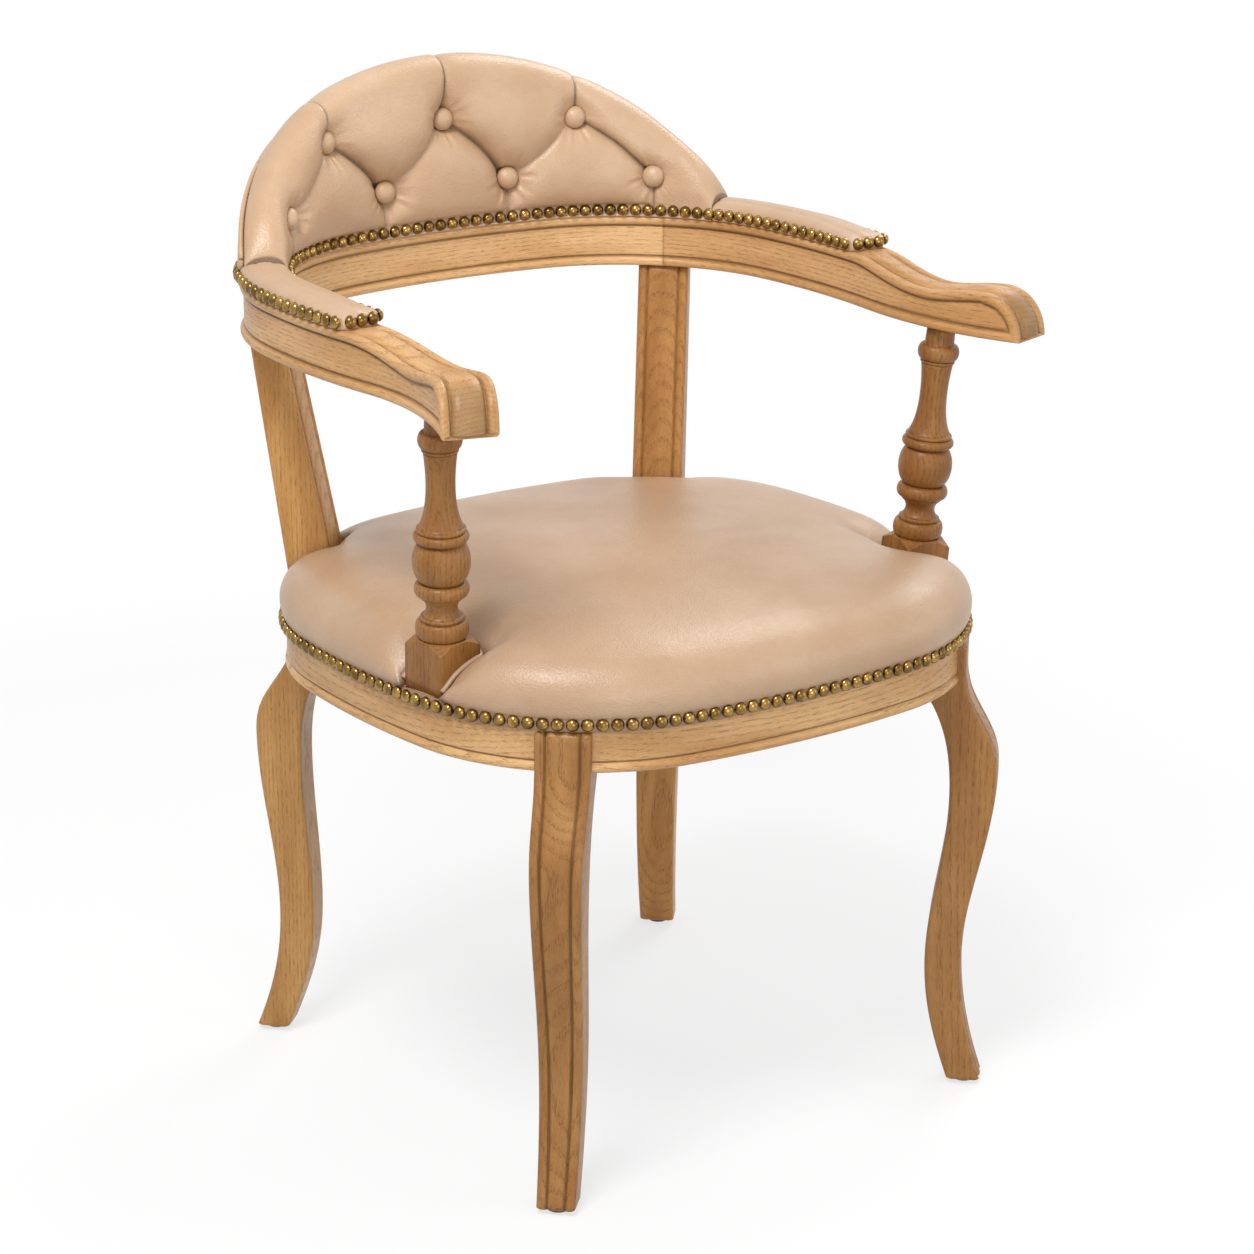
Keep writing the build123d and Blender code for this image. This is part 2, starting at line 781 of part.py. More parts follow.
# Back bow: bead, sunk face and bead
bow_layers = (
    (bow_bottom, moulding_bead, 0),
    (bow_bottom + moulding_bead, bow_height - 2 * moulding_bead, moulding_depth),
    (bow_top - moulding_bead, moulding_bead, 0),
)
with BuildPart() as back_bow:
    for bottom, height, inset in bow_layers:
        with BuildSketch(bow.offset(bottom)):
            add(bow_plan.band(bow_width / 2 - inset, bow_width / 2 - inset))
        extrude(amount=height)
    split(bisect_by=rear_right, keep=Keep.TOP)
    split(bisect_by=rear_left, keep=Keep.BOTTOM)
    add(joint_slots.part, mode=Mode.SUBTRACT)
    mirror(joint_slots.part, about=Plane.YZ, mode=Mode.SUBTRACT)
    add(uprights(-upright_tenon, upright_rise, joint_fit), mode=Mode.SUBTRACT)

# Loose tenons across the joints of bow and arms
with BuildPart() as bow_tenons:
    for plane in (rear_left, rear_right):
        with BuildSketch(plane):
            with Locations((post_reach, bow_bottom + bow_tenon_rise)):
                Rectangle(bow_tenon_thickness, bow_tenon_height, align=(Align.CENTER, Align.MIN))
        extrude(amount=bow_tenon_length / 2, both=True)


def half_moon(drop):
    """Front view of the back, its top edge lowered by drop."""
    with BuildSketch() as view:
        with Locations((0, bow_top)):
            Rectangle(
                2 * (back_half_width - drop), 2 * back_spring_height, align=(Align.CENTER, Align.CENTER)
            )
        with Locations((0, bow_top + back_spring_height)):
            Ellipse(back_half_width - drop, back_rise - drop)
        with Locations((0, bow_top)):
            Rectangle(
                2 * back_half_width,
                back_rise,
                align=(Align.CENTER, Align.MAX),
                mode=Mode.SUBTRACT,
            )
    return view.sketch


back_view = Plane((0, seat_y + bow_setback, 0), x_dir=(1, 0, 0), z_dir=(0, -1, 0))
back_depth = bow_half_depth + bow_width

# Outside back: a thin padded panel behind the cushion, over the back of the bow
with BuildPart() as outside_back:
    with BuildSketch(bow.offset(bow_top)):
        inner_side = back_cushion_outside + soft_fit
        add(bow_plan.band(inner_side + outside_back_thickness, -inner_side))
    extrude(amount=back_spring_height + back_rise)
    with BuildSketch(back_view):
        add(half_moon(outside_back_drop))
    extrude(amount=-back_depth, mode=Mode.INTERSECT)


def bulged(start, end, bulge):
    """Middle of a stuffed face between two points of a section, bulging inwards."""
    return (start + end) / 2 - Vector(min(bulge, bulge_limit * (end - start).length), 0)


def back_section(azimuth, pleat_height, draw, lower_bulge, upper_bulge):
    """Section of the back cushion: its face bulges below and above a pleat that is drawn in."""
    plane = bow_station(azimuth)
    top = back_spring_height + back_rise * sqrt(1 - (plane.origin.X / back_half_width) ** 2)
    shoulder = top - min(back_top_roll, top / 2)
    pleat_height = min(pleat_height, shoulder * pleat_limit)
    foot = Vector(-bow_width / 2, 0)
    pleat = Vector(-bow_width / 2 + draw, pleat_height)
    inner = Vector(-bow_width / 2 + back_top_lean, shoulder)
    outer = Vector(back_cushion_outside, shoulder)
    with BuildSketch(plane) as section:
        with BuildLine():
            Polyline(
                foot,
                bulged(foot, pleat, lower_bulge),
                pleat,
                bulged(pleat, inner, upper_bulge),
                inner,
                ((inner.X + outer.X - back_top_width) / 2, top),
                ((inner.X + outer.X + back_top_width) / 2, top),
                outer,
                (back_cushion_outside, 0),
                close=True,
            )
        make_face()
    return section.sketch


# Tufted back cushion: the pleat zigzags between the buttons of the upper and the lower row
middle_height = (upper_button_height + lower_button_height) / 2
flat_bulge = back_face_bulge * pleat_relief
tuft_sections = []
for step in range(-6, 7):
    azimuth = step * button_spacing / 4
    if step % 2:
        row = (middle_height, tuft_depth * pleat_relief, back_face_bulge, back_face_bulge)
    elif step % 4:
        row = (lower_button_height, tuft_depth, flat_bulge, back_face_bulge)
    else:
        row = (upper_button_height, tuft_depth, back_face_bulge, flat_bulge)
    tuft_sections.append(back_section(azimuth, *row))
last_azimuth = 6 * button_spacing / 4
run_out = (lower_button_height, tuft_depth * pleat_relief, flat_bulge, flat_bulge)
end_row = (lower_button_height, 0, flat_bulge, flat_bulge)
for azimuth, row in (((last_azimuth + back_end_azimuth) / 2, run_out), (back_end_azimuth, end_row)):
    tuft_sections.insert(0, back_section(-azimuth, *row))
    tuft_sections.append(back_section(azimuth, *row))

# Buttons and the hollows that they sit in
button_places = []
for step in (-1, 0, 1):
    button_places.append((step * button_spacing, upper_button_height))
for step in (-1.5, -0.5, 0.5, 1.5):
    button_places.append((step * button_spacing, lower_button_height))
button_seats = []
for azimuth, height in button_places:
    station = bow_station(azimuth)
    origin = station.from_local_coords((-bow_width / 2 + tuft_depth, height))
    button_seats.append(Plane(origin, x_dir=(0, 0, 1), z_dir=-station.x_dir))

with BuildPart() as back_cushion:
    loft(tuft_sections, ruled=True)
    add(uprights(0, upright_rise, 0), mode=Mode.SUBTRACT)
    for place in button_seats:
        with BuildSketch(place):
            RegularPolygon(button_radius + soft_fit, button_sides)
        extrude(amount=bow_width, mode=Mode.SUBTRACT)

with BuildPart() as back_buttons:
    for place in button_seats:
        with BuildSketch(place):
            RegularPolygon(button_radius, button_sides)
        extrude(amount=button_height, taper=button_taper)

# Arm pads, from the end of the back cushion to the rise of the arm
with BuildPart() as arm_pad_left:
    with BuildSketch(bow.offset(bow_top)):
        add(arm_band(bow_width / 2 - pad_inset))
    extrude(amount=pad_height)
    with BuildSketch(arm_side):
        with Locations((arm_rise_from_nose, bow_top)):
            Rectangle(arm_overrun, pad_height, align=(Align.MIN, Align.MIN))
    extrude(amount=4 * bow_half_width, mode=Mode.INTERSECT)
    split(bisect_by=bow_station(back_end_azimuth).offset(soft_fit), keep=Keep.TOP)
    top_edges = arm_pad_left.faces().sort_by(Axis.Z)[-1].edges()
    chamfer(top_edges.sort_by(Axis.Y)[:-1], pad_bevel)
with BuildPart() as arm_pad_right:
    mirror(arm_pad_left.part, about=Plane.YZ)

# Written pieces, each under its own name
pieces = {
    "front_leg_left": front_leg_left,
    "front_leg_right": front_leg_right,
    "rear_leg_left": rear_leg_left,
    "rear_leg_right": rear_leg_right,
    "seat_rail_front": seat_rail_front,
    "seat_rail_back": seat_rail_back,
    "seat_rail_left": seat_rail_left,
    "seat_rail_right": seat_rail_right,
    "corner_block_front_left": corner_block_front_left,
    "corner_block_front_right": corner_block_front_right,
    "corner_block_rear_left": corner_block_rear_left,
    "corner_block_rear_right": corner_block_rear_right,
    "seat_board": seat_board,
    "dust_cover": dust_cover,
    "glides": glides,
    "seat_cushion": seat_cushion,
    "arm_post_left": arm_post_left,
    "arm_post_right": arm_post_right,
    "arm_left": arm_left,
    "arm_right": arm_right,
    "back_bow": back_bow,
    "bow_tenons": bow_tenons,
    "back_uprights": back_uprights,
    "back_cushion": back_cushion,
    "back_buttons": back_buttons,
    "outside_back": outside_back,
    "arm_pad_left": arm_pad_left,
    "arm_pad_right": arm_pad_right,
}

os.makedirs("parts", exist_ok=True)
for name, piece in pieces.items():
    piece.part.label = name
    export_step(piece.part, f"parts/{name}.step")
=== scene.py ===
import logging
import math
from dataclasses import dataclass, field
from enum import Enum
from typing import Any

import bmesh
import bpy
import numpy as np
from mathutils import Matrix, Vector
from mathutils.bvhtree import BVHTree


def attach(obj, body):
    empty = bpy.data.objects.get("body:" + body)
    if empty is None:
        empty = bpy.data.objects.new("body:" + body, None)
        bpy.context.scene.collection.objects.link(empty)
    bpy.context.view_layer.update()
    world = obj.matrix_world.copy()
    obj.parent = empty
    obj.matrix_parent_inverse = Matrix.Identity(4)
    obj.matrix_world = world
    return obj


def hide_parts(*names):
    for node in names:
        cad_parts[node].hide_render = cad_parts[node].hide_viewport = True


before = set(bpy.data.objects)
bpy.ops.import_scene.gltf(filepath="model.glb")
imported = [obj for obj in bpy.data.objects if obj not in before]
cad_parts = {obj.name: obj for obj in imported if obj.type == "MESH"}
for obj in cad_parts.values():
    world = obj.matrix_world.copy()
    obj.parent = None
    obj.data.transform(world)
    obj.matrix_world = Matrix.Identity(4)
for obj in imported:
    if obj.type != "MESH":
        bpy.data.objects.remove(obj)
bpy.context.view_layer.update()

# Looks of an oak tub armchair with a nailed leather seat, arm pads and tufted back.
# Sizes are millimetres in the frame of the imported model; meshes are written in metres.

LOG = logging.getLogger("armchair")
MM = 0.001
BODY = "root"
WELD = 0.01
CURVE_STEPS = 24
CORD_SIDES = 10
# Along the log, a mirrored piece is cut this much further, and a piece this much for each degree it is turned
MIRROR_SHIFT = 777.0
TURN_SHIFT = 9.0
OFF_ORIGIN = (0.3, 0.2, 0.1)
Array = np.ndarray
Piece = bpy.types.Object
Material = bpy.types.Material
Colour = tuple[int, int, int]
Pair = tuple[float, float]
Triple = tuple[float, float, float]


# Small tools for curves and meshes


def unit(turn: float | Array) -> Array:
    """Directions at an angle in degrees from +X, one row each."""
    angle = np.radians(turn)
    return np.stack([np.cos(angle), np.sin(angle)], -1)


def left_of(way: Array) -> Array:
    """The direction a quarter turn to the left of way."""
    return np.array([-way[1], way[0]])


def raised(plan: Array, height: Array | float) -> Array:
    """Plan points at one height, or at a height each."""
    return np.column_stack([plan, np.broadcast_to(height, len(plan))])


def run_along(points: Array) -> Array:
    """Length along a line at each of its points."""
    return np.concatenate([[0], np.cumsum(np.linalg.norm(np.diff(points, axis=0), axis=1))])


def smooth_step(value: Array | float, low: float, high: float) -> Array:
    """Eased 0 to 1 as value goes from low to high, either way round."""
    share = np.clip((value - low) / (high - low), 0, 1)
    return share * share * (3 - 2 * share)


def hermite(value: Array, knots: list[Pair]) -> Array:
    """Heights along knots that are all level, eased between neighbours."""
    result = np.full(np.shape(value), knots[0][1], float)
    for (start, low), (end, high) in zip(knots, knots[1:]):
        result = np.where(value >= start, low + (high - low) * smooth_step(value, start, end), result)
    return result


def curve_through(points: list[Pair], count: int) -> Array:
    """Points spaced along a smooth curve through a few given ones.

    Args:
        points: The points to pass through.
        count: How many points to return.

    Returns:
        One row for each point of the curve.
    """
    knots = np.array(points, float)
    padded = np.vstack([2 * knots[0] - knots[1], knots, 2 * knots[-1] - knots[-2]])
    share = np.linspace(0, 1, CURVE_STEPS, endpoint=False)[:, None]
    spans = []
    for before, start, end, after in zip(padded, padded[1:], padded[2:], padded[3:]):
        slope_in, slope_out = (end - before) / 2, (after - start) / 2
        rise = 3 * (end - start) - 2 * slope_in - slope_out
        bend = 2 * (start - end) + slope_in + slope_out
        spans.append(start + slope_in * share + rise * share**2 + bend * share**3)
    fine = np.vstack([*spans, knots[-1:]])
    return evenly(fine, count)


def evenly(points: Array, count: int) -> Array:
    """The line through points, divided into count points at equal lengths."""
    lengths = run_along(points)
    wanted = np.linspace(0, lengths[-1], count)
    return np.stack([np.interp(wanted, lengths, column) for column in points.T], -1)


def placed(name: str, data: Any) -> Piece:
    """A new object in the scene."""
    made = bpy.data.objects.new(name, data)
    bpy.context.scene.collection.objects.link(made)
    return made


class Shell:
    """A mesh under construction: grids and faces are added, then welded into one piece."""

    def __init__(self) -> None:
        """Starts with no points."""
        self.points: list[Array] = []
        self.shades: list[Array] = []
        self.grains: list[Array] = []
        self.faces: list[list[int]] = []
        self.count = 0

    def grid(
        self,
        points: Array,
        shade: Array | float = 0.0,
        grain: Array | None = None,
        ring: bool = False,
    ) -> Array:
        """Adds a grid of quads whose rows close on themselves.

        Args:
            points: Rows by columns by three.
            shade: Painted shade at each point, from 0 to 1: in grooves, where it is partly a dark glaze, and
                in creases, seams and cut edges.
            grain: Place of each point in its timber: two across the grain, then one along it.
            ring: Whether the last row joins the first.

        Returns:
            The numbers of the points, as rows by columns.
        """
        rows, columns = points.shape[:2]
        numbers = np.arange(rows * columns).reshape(rows, columns) + self.count
        self.points.append(points.reshape(-1, 3))
        self.shades.append(np.broadcast_to(shade, (rows, columns)).reshape(-1))
        if grain is not None:
            self.grains.append(grain.reshape(-1, 3))
        self.count += rows * columns
        looped = np.hstack([numbers, numbers[:, :1]])
        looped = np.vstack([looped, looped[:1]]) if ring else looped
        corners = (looped[:-1, :-1], looped[1:, :-1], looped[1:, 1:], looped[:-1, 1:])
        self.faces.extend(np.stack(corners, -1).reshape(-1, 4).tolist())
        return numbers

    def loft(self, points: Array, shade: Array | float = 0.0, grain: Array | None = None) -> None:
        """Adds a grid with a face over each end."""
        numbers = self.grid(points, shade, grain)
        self.faces += [numbers[0].tolist(), numbers[-1].tolist()]

    def piece(self, name: str, mirrored: bool = False) -> Piece:
        """Writes the piece.

        Args:
            name: Name of the new object.
            mirrored: Whether it stands on the -X side instead of the +X side.

        Returns:
            The new object, at the origin.
        """
        points = np.vstack(self.points) * MM
        if mirrored:
            points = points * (-1, 1, 1)
        mesh = bpy.data.meshes.new(name)
        mesh.from_pydata(points.tolist(), [], self.faces)
        layer = mesh.attributes.new("shade", "FLOAT", "POINT")
        layer.data.foreach_set("value", np.concatenate(self.shades).astype(np.float32))
        if self.grains:
            timber = np.vstack(self.grains) + (0.0, 0.0, MIRROR_SHIFT if mirrored else 0.0)
            layer = mesh.attributes.new("grain", "FLOAT_VECTOR", "POINT")
            layer.data.foreach_set("vector", (timber * MM).astype(np.float32).ravel())
        work = bmesh.new()
        work.from_mesh(mesh)
        bmesh.ops.remove_doubles(work, verts=work.verts, dist=WELD * MM)
        bmesh.ops.dissolve_degenerate(work, edges=work.edges, dist=WELD * MM)
        bmesh.ops.recalc_face_normals(work, faces=work.faces)
        for face in work.faces:
            face.smooth = True
        work.to_mesh(mesh)
        work.free()
        return placed(name, mesh)


def lofted(points: Array, name: str, mirrored: bool = False, **looks: Array | float) -> Piece:
    """A piece of closed rows with a face over each end; looks are its shade and grain."""
    shell = Shell()
    shell.loft(points, **looks)
    return shell.piece(name, mirrored)


def tube(path: Array, radius: float) -> Array:
    """Rings of a round cord along a path, one row for each of its points."""
    way = np.gradient(path, axis=0)
    way /= np.linalg.norm(way, axis=1, keepdims=True)
    up = np.array([0.0, 0.0, 1.0]) - way * way[:, 2:3]
    up /= np.linalg.norm(up, axis=1, keepdims=True)
    side = np.cross(way, up)
    turns = np.linspace(0, 2 * math.pi, CORD_SIDES, endpoint=False)
    around = side[:, None] * np.cos(turns)[None, :, None] + up[:, None] * np.sin(turns)[None, :, None]
    return path[:, None] + around * radius


# Finishes


class Wiring:
    """A node tree being wired."""

    def __init__(self, tree: bpy.types.NodeTree) -> None:
        """Starts with the tree emptied."""
        self.tree = tree
        tree.nodes.clear()

    def add(self, kind: str, inputs: dict[str | int, Any] | None = None, **settings: Any) -> Any:
        """Adds a node.

        Args:
            kind: The node's type.
            inputs: Values, or sockets to link, for its inputs.
            settings: Its own options.

        Returns:
            The new node.
        """
        made = self.tree.nodes.new(kind)
        for name, value in settings.items():
            setattr(made, name, value)
        for key, value in (inputs or {}).items():
            if isinstance(value, bpy.types.NodeSocket):
                self.tree.links.new(value, made.inputs[key])
            else:
                made.inputs[key].default_value = value
        return made

    def node(self, kind: str, inputs: dict[str | int, Any] | None = None, **settings: Any) -> Any:
        """Adds a shader node, its type given without the common prefix."""
        return self.add(f"ShaderNode{kind}", inputs, **settings)

    def math(self, operation: str, first: Any, second: Any) -> Any:
        """One sum of two values or sockets."""
        return self.node("Math", {0: first, 1: second}, operation=operation).outputs[0]

    def vector(self, operation: str, first: Any, second: Any) -> Any:
        """One sum of two vectors or sockets."""
        return self.node("VectorMath", {0: first, 1: second}, operation=operation).outputs[0]

    def seen(self) -> Any:
        """1 for rays that show the background: from the camera, in gloss and through glass."""
        path = self.node("LightPath").outputs
        straight = self.math("MAXIMUM", path["Is Camera Ray"], path["Is Glossy Ray"])
        return self.math("MAXIMUM", straight, path["Is Transmission Ray"])


class Shader(Wiring):
    """A node material being wired."""

    def __init__(self, name: str) -> None:
        """Starts a material with an empty node tree."""
        self.material = bpy.data.materials.new(name)
        self.material.use_nodes = True
        super().__init__(self.material.node_tree)

    def place(self, shift: Triple = (0.0, 0.0, 0.0)) -> Any:
        """Object coordinates, shifted in metres."""
        source = self.node("TexCoord").outputs["Object"]
        return self.node("Mapping", {"Vector": source, "Location": shift}).outputs["Vector"]

    def timber(self, heart: Pair) -> Any:
        """Place in the timber, in metres from the heart of the log, as the piece records it."""
        source = self.node("Attribute", attribute_name="grain").outputs["Vector"]
        return self.vector("SUBTRACT", source, (heart[0] * MM, heart[1] * MM, 0.0))

    def stretch(self, vector: Any, scale: Triple) -> Any:
        """A vector with each part scaled."""
        return self.vector("MULTIPLY", vector, scale)

    def noise(self, vector: Any, scale: float, detail: float = 2.0) -> Any:
        """Soft noise from 0 to 1."""
        values = {"Vector": vector, "Scale": scale, "Detail": detail}
        return self.node("TexNoise", values).outputs["Fac"]

    def ramp(self, value: Any, low: float, high: float, start: float = 0.0, end: float = 1.0) -> Any:
        """Eases value from low and high to start and end."""
        values = {"Value": value, "From Min": low, "From Max": high, "To Min": start, "To Max": end}
        made = self.node("MapRange", values, interpolation_type="SMOOTHSTEP")
        return made.outputs["Result"]

    def mix(self, share: Any, first: Any, second: Any, blend: str = "MIX") -> Any:
        """Two colours mixed."""
        values = {0: share, 6: first, 7: second}
        made = self.node("Mix", values, data_type="RGBA", blend_type=blend, clamp_result=True)
        return made.outputs[2]

    def shade(self) -> Any:
        """The piece's record of painted shade in its grooves, creases and seams."""
        return self.node("Attribute", attribute_name="shade").outputs["Fac"]

    def surface(self, inputs: dict[str, Any]) -> Material:
        """Ends the material in one principled surface."""
        surface = self.node("BsdfPrincipled", inputs)
        self.node("OutputMaterial", {"Surface": surface.outputs["BSDF"]})
        return self.material


def rgb(red: int, green: int, blue: int) -> tuple[float, float, float, float]:
    """A colour given in display values, as the linear values that shaders take."""
    parts = [part / 255 for part in (red, green, blue)]
    linear = [((part + 0.055) / 1.055) ** 2.4 if part > 0.04045 else part / 12.92 for part in parts]
    return (*linear, 1.0)


def darker(colour: tuple[float, ...], share: float) -> tuple[float, ...]:
    """A linear colour brought down to a share of its light."""
    return (*(part * share for part in colour[:3]), 1.0)


@dataclass(frozen=True)
class Oak:
    """Oiled oak with open pores. The heart of the log lies off each piece's middle, in millimetres."""

    name: str
    light: Colour
    dark: Colour
    heart: Pair
    ring_scale: float = 88.0

    def material(self) -> Material:
        """Wires the material: growth rings, pores, fibres, and a dark glaze that also paints shade into the
        grooves, onto the arm noses and over parts of the legs.
        """
        wire = Shader(self.name)
        light, dark = rgb(*self.light), rgb(*self.dark)
        pore, glaze_and_shade = darker(dark, 0.34), darker(dark, 0.30)
        place = wire.timber(self.heart)
        values = {"Vector": wire.stretch(place, (1.0, 1.0, 0.2)), "Scale": 9.0, "Detail": 2.0}
        wander = wire.node("TexNoise", values).outputs["Color"]
        centred = wire.vector("SUBTRACT", wander, (0.5, 0.5, 0.5))
        bent = wire.vector("ADD", wire.stretch(centred, (0.02, 0.02, 0.0)), place)
        values = {"Vector": wire.stretch(bent, (1.0, 1.0, 0.1)), "Scale": self.ring_scale}
        values |= {"Distortion": 1.6, "Detail": 2.0, "Detail Scale": 0.5}
        options = {"wave_type": "RINGS", "rings_direction": "Z", "wave_profile": "SAW"}
        early = wire.ramp(wire.node("TexWave", values, **options).outputs["Fac"], 0.4, 1.0)
        strokes = wire.noise(wire.stretch(bent, (1.0, 1.0, 0.085)), 1400.0, 1.0)
        pores = wire.math("MULTIPLY", wire.ramp(strokes, 0.5, 0.63), wire.ramp(early, 0.0, 0.8, 0.3, 1.0))
        flecks = wire.noise(wire.stretch(bent, (1.0, 1.0, 0.2)), 2300.0, 1.0)
        pores = wire.math("MAXIMUM", pores, wire.ramp(flecks, 0.56, 0.72, 0.0, 0.45))
        fibres = wire.noise(wire.stretch(bent, (1.0, 1.0, 0.02)), 1300.0, 3.0)
        tone = wire.ramp(wire.noise(wire.stretch(bent, (1.0, 1.0, 0.16)), 42.0, 4.0), 0.3, 0.7)
        base = wire.mix(tone, dark, light)
        base = wire.mix(wire.math("MULTIPLY", early, 0.34), base, dark)
        base = wire.mix(wire.ramp(fibres, 0.35, 0.65, 0.0, 0.32), base, dark)
        base = wire.mix(wire.math("MULTIPLY", pores, 0.52), base, pore)
        # Painted shade: the shade attribute darkens towards the glaze colour in the grooves, where it is
        # partly a real dark glaze, on the arm noses and over parts of the legs
        base = wire.mix(wire.math("MULTIPLY", wire.shade(), 0.74), base, glaze_and_shade)
        height = wire.math("ADD", wire.math("MULTIPLY", pores, -1.0), wire.math("MULTIPLY", fibres, 0.4))
        bump = wire.node("Bump", {"Strength": 0.5, "Distance": 0.0004, "Height": height})
        return wire.surface(
            {
                "Base Color": base,
                "Roughness": wire.ramp(pores, 0.0, 1.0, 0.38, 0.6),
                "Normal": bump.outputs["Normal"],
                "Coat Weight": 0.14,
                "Coat Roughness": 0.24,
                "Specular IOR Level": 0.25,
            }
        )


@dataclass(frozen=True)
class Beech:
    """Plain pale beech of the pieces inside."""

    name: str
    light: Colour = (208, 176, 136)
    dark: Colour = (188, 152, 110)

    def material(self) -> Material:
        """Wires the material."""
        wire = Shader(self.name)
        place = wire.place(OFF_ORIGIN)
        streaks = wire.noise(wire.stretch(place, (0.04, 1.0, 1.0)), 300.0, 3.0)
        base = wire.mix(wire.ramp(streaks, 0.3, 0.7), rgb(*self.dark), rgb(*self.light))
        return wire.surface({"Base Color": base, "Roughness": wire.ramp(streaks, 0.3, 0.7, 0.6, 0.45)})


@dataclass(frozen=True)
class Leather:
    """Satin leather with a fine pebble and soft clouds of colour."""

    name: str
    light: Colour = (188, 157, 127)
    deep: Colour = (176, 142, 111)
    # crease is the colour of the painted shade in creases, seams, cut edges, between the nails and round the
    # posts and buttons
    crease: Colour = (66, 43, 27)
    cloud_scale: float = 13.0
    roughness: float = 0.37

    def material(self) -> Material:
        """Wires the material."""
        wire = Shader(self.name)
        place = wire.place(OFF_ORIGIN)
        clouds = wire.noise(place, self.cloud_scale, 5.0)
        specks = wire.noise(place, 95.0, 3.0)
        base = wire.mix(wire.ramp(clouds, 0.25, 0.75), rgb(*self.deep), rgb(*self.light))
        base = wire.mix(wire.ramp(specks, 0.45, 0.75, 0.0, 0.3), base, rgb(*self.deep))
        # Painted shade: the shade attribute darkens towards the crease colour
        base = wire.mix(wire.math("MULTIPLY", wire.shade(), 0.85), base, rgb(*self.crease))
        values = {"Vector": place, "Scale": 640.0, "Smoothness": 0.6}
        cells = wire.node("TexVoronoi", values, feature="SMOOTH_F1")
        pebble = wire.ramp(cells.outputs["Distance"], 0.1, 0.7)
        fine = wire.noise(place, 2400.0, 1.0)
        height = wire.math("ADD", wire.math("MULTIPLY", pebble, -1.0), wire.math("MULTIPLY", fine, 0.3))
        height = wire.math("ADD", height, wire.math("MULTIPLY", wire.noise(place, 160.0, 2.0), 1.4))
        bump = wire.node("Bump", {"Strength": 0.4, "Distance": 0.0004, "Height": height})
        return wire.surface(
            {
                "Base Color": base,
                "Roughness": wire.ramp(clouds, 0.25, 0.75, self.roughness + 0.05, self.roughness - 0.04),
                "Normal": bump.outputs["Normal"],
                "Coat Weight": 0.12,
                "Coat Roughness": 0.3,
            }
        )


@dataclass(frozen=True)
class Brass:
    """Antique brass, rubbed bright in random patches."""

    name: str
    bright: Colour = (176, 142, 80)
    patina: Colour = (112, 87, 46)

    def material(self) -> Material:
        """Wires the material."""
        wire = Shader(self.name)
        place = wire.place()
        worn = wire.ramp(wire.noise(place, 90.0, 2.0), 0.35, 0.7)
        base = wire.mix(worn, rgb(*self.patina), rgb(*self.bright))
        return wire.surface(
            {
                "Base Color": base,
                "Metallic": 1.0,
                "Roughness": wire.ramp(worn, 0.0, 1.0, 0.26, 0.17),
            }
        )


@dataclass(frozen=True)
class Cloth:
    """Thin black lining cloth with a plain weave."""

    name: str
    thread: Colour = (44, 42, 40)
    gap: Colour = (18, 17, 17)

    def material(self) -> Material:
        """Wires the material."""
        wire = Shader(self.name)
        place = wire.place()
        bands = []
        for direction in ("X", "Y"):
            values = {"Vector": place, "Scale": 260.0, "Distortion": 0.6}
            bands.append(wire.node("TexWave", values, bands_direction=direction).outputs["Fac"])
        weave = wire.math("MULTIPLY", bands[0], bands[1])
        bump = wire.node("Bump", {"Strength": 0.4, "Distance": 0.0003, "Height": weave})
        return wire.surface(
            {
                "Base Color": wire.mix(weave, rgb(*self.gap), rgb(*self.thread)),
                "Roughness": wire.ramp(weave, 0.0, 1.0, 0.95, 0.8),
                "Normal": bump.outputs["Normal"],
            }
        )


@dataclass(frozen=True)
class Plastic:
    """Dark moulded plastic of the foot glides, scuffed under the feet."""

    name: str
    colour: Colour = (58, 50, 44)
    scuff: Colour = (104, 94, 84)

    def material(self) -> Material:
        """Wires the material."""
        wire = Shader(self.name)
        place = wire.place()
        scuffs = wire.ramp(wire.noise(place, 420.0, 4.0), 0.5, 0.75)
        return wire.surface(
            {
                "Base Color": wire.mix(scuffs, rgb(*self.colour), rgb(*self.scuff)),
                "Roughness": wire.ramp(scuffs, 0.0, 1.0, 0.4, 0.7),
            }
        )


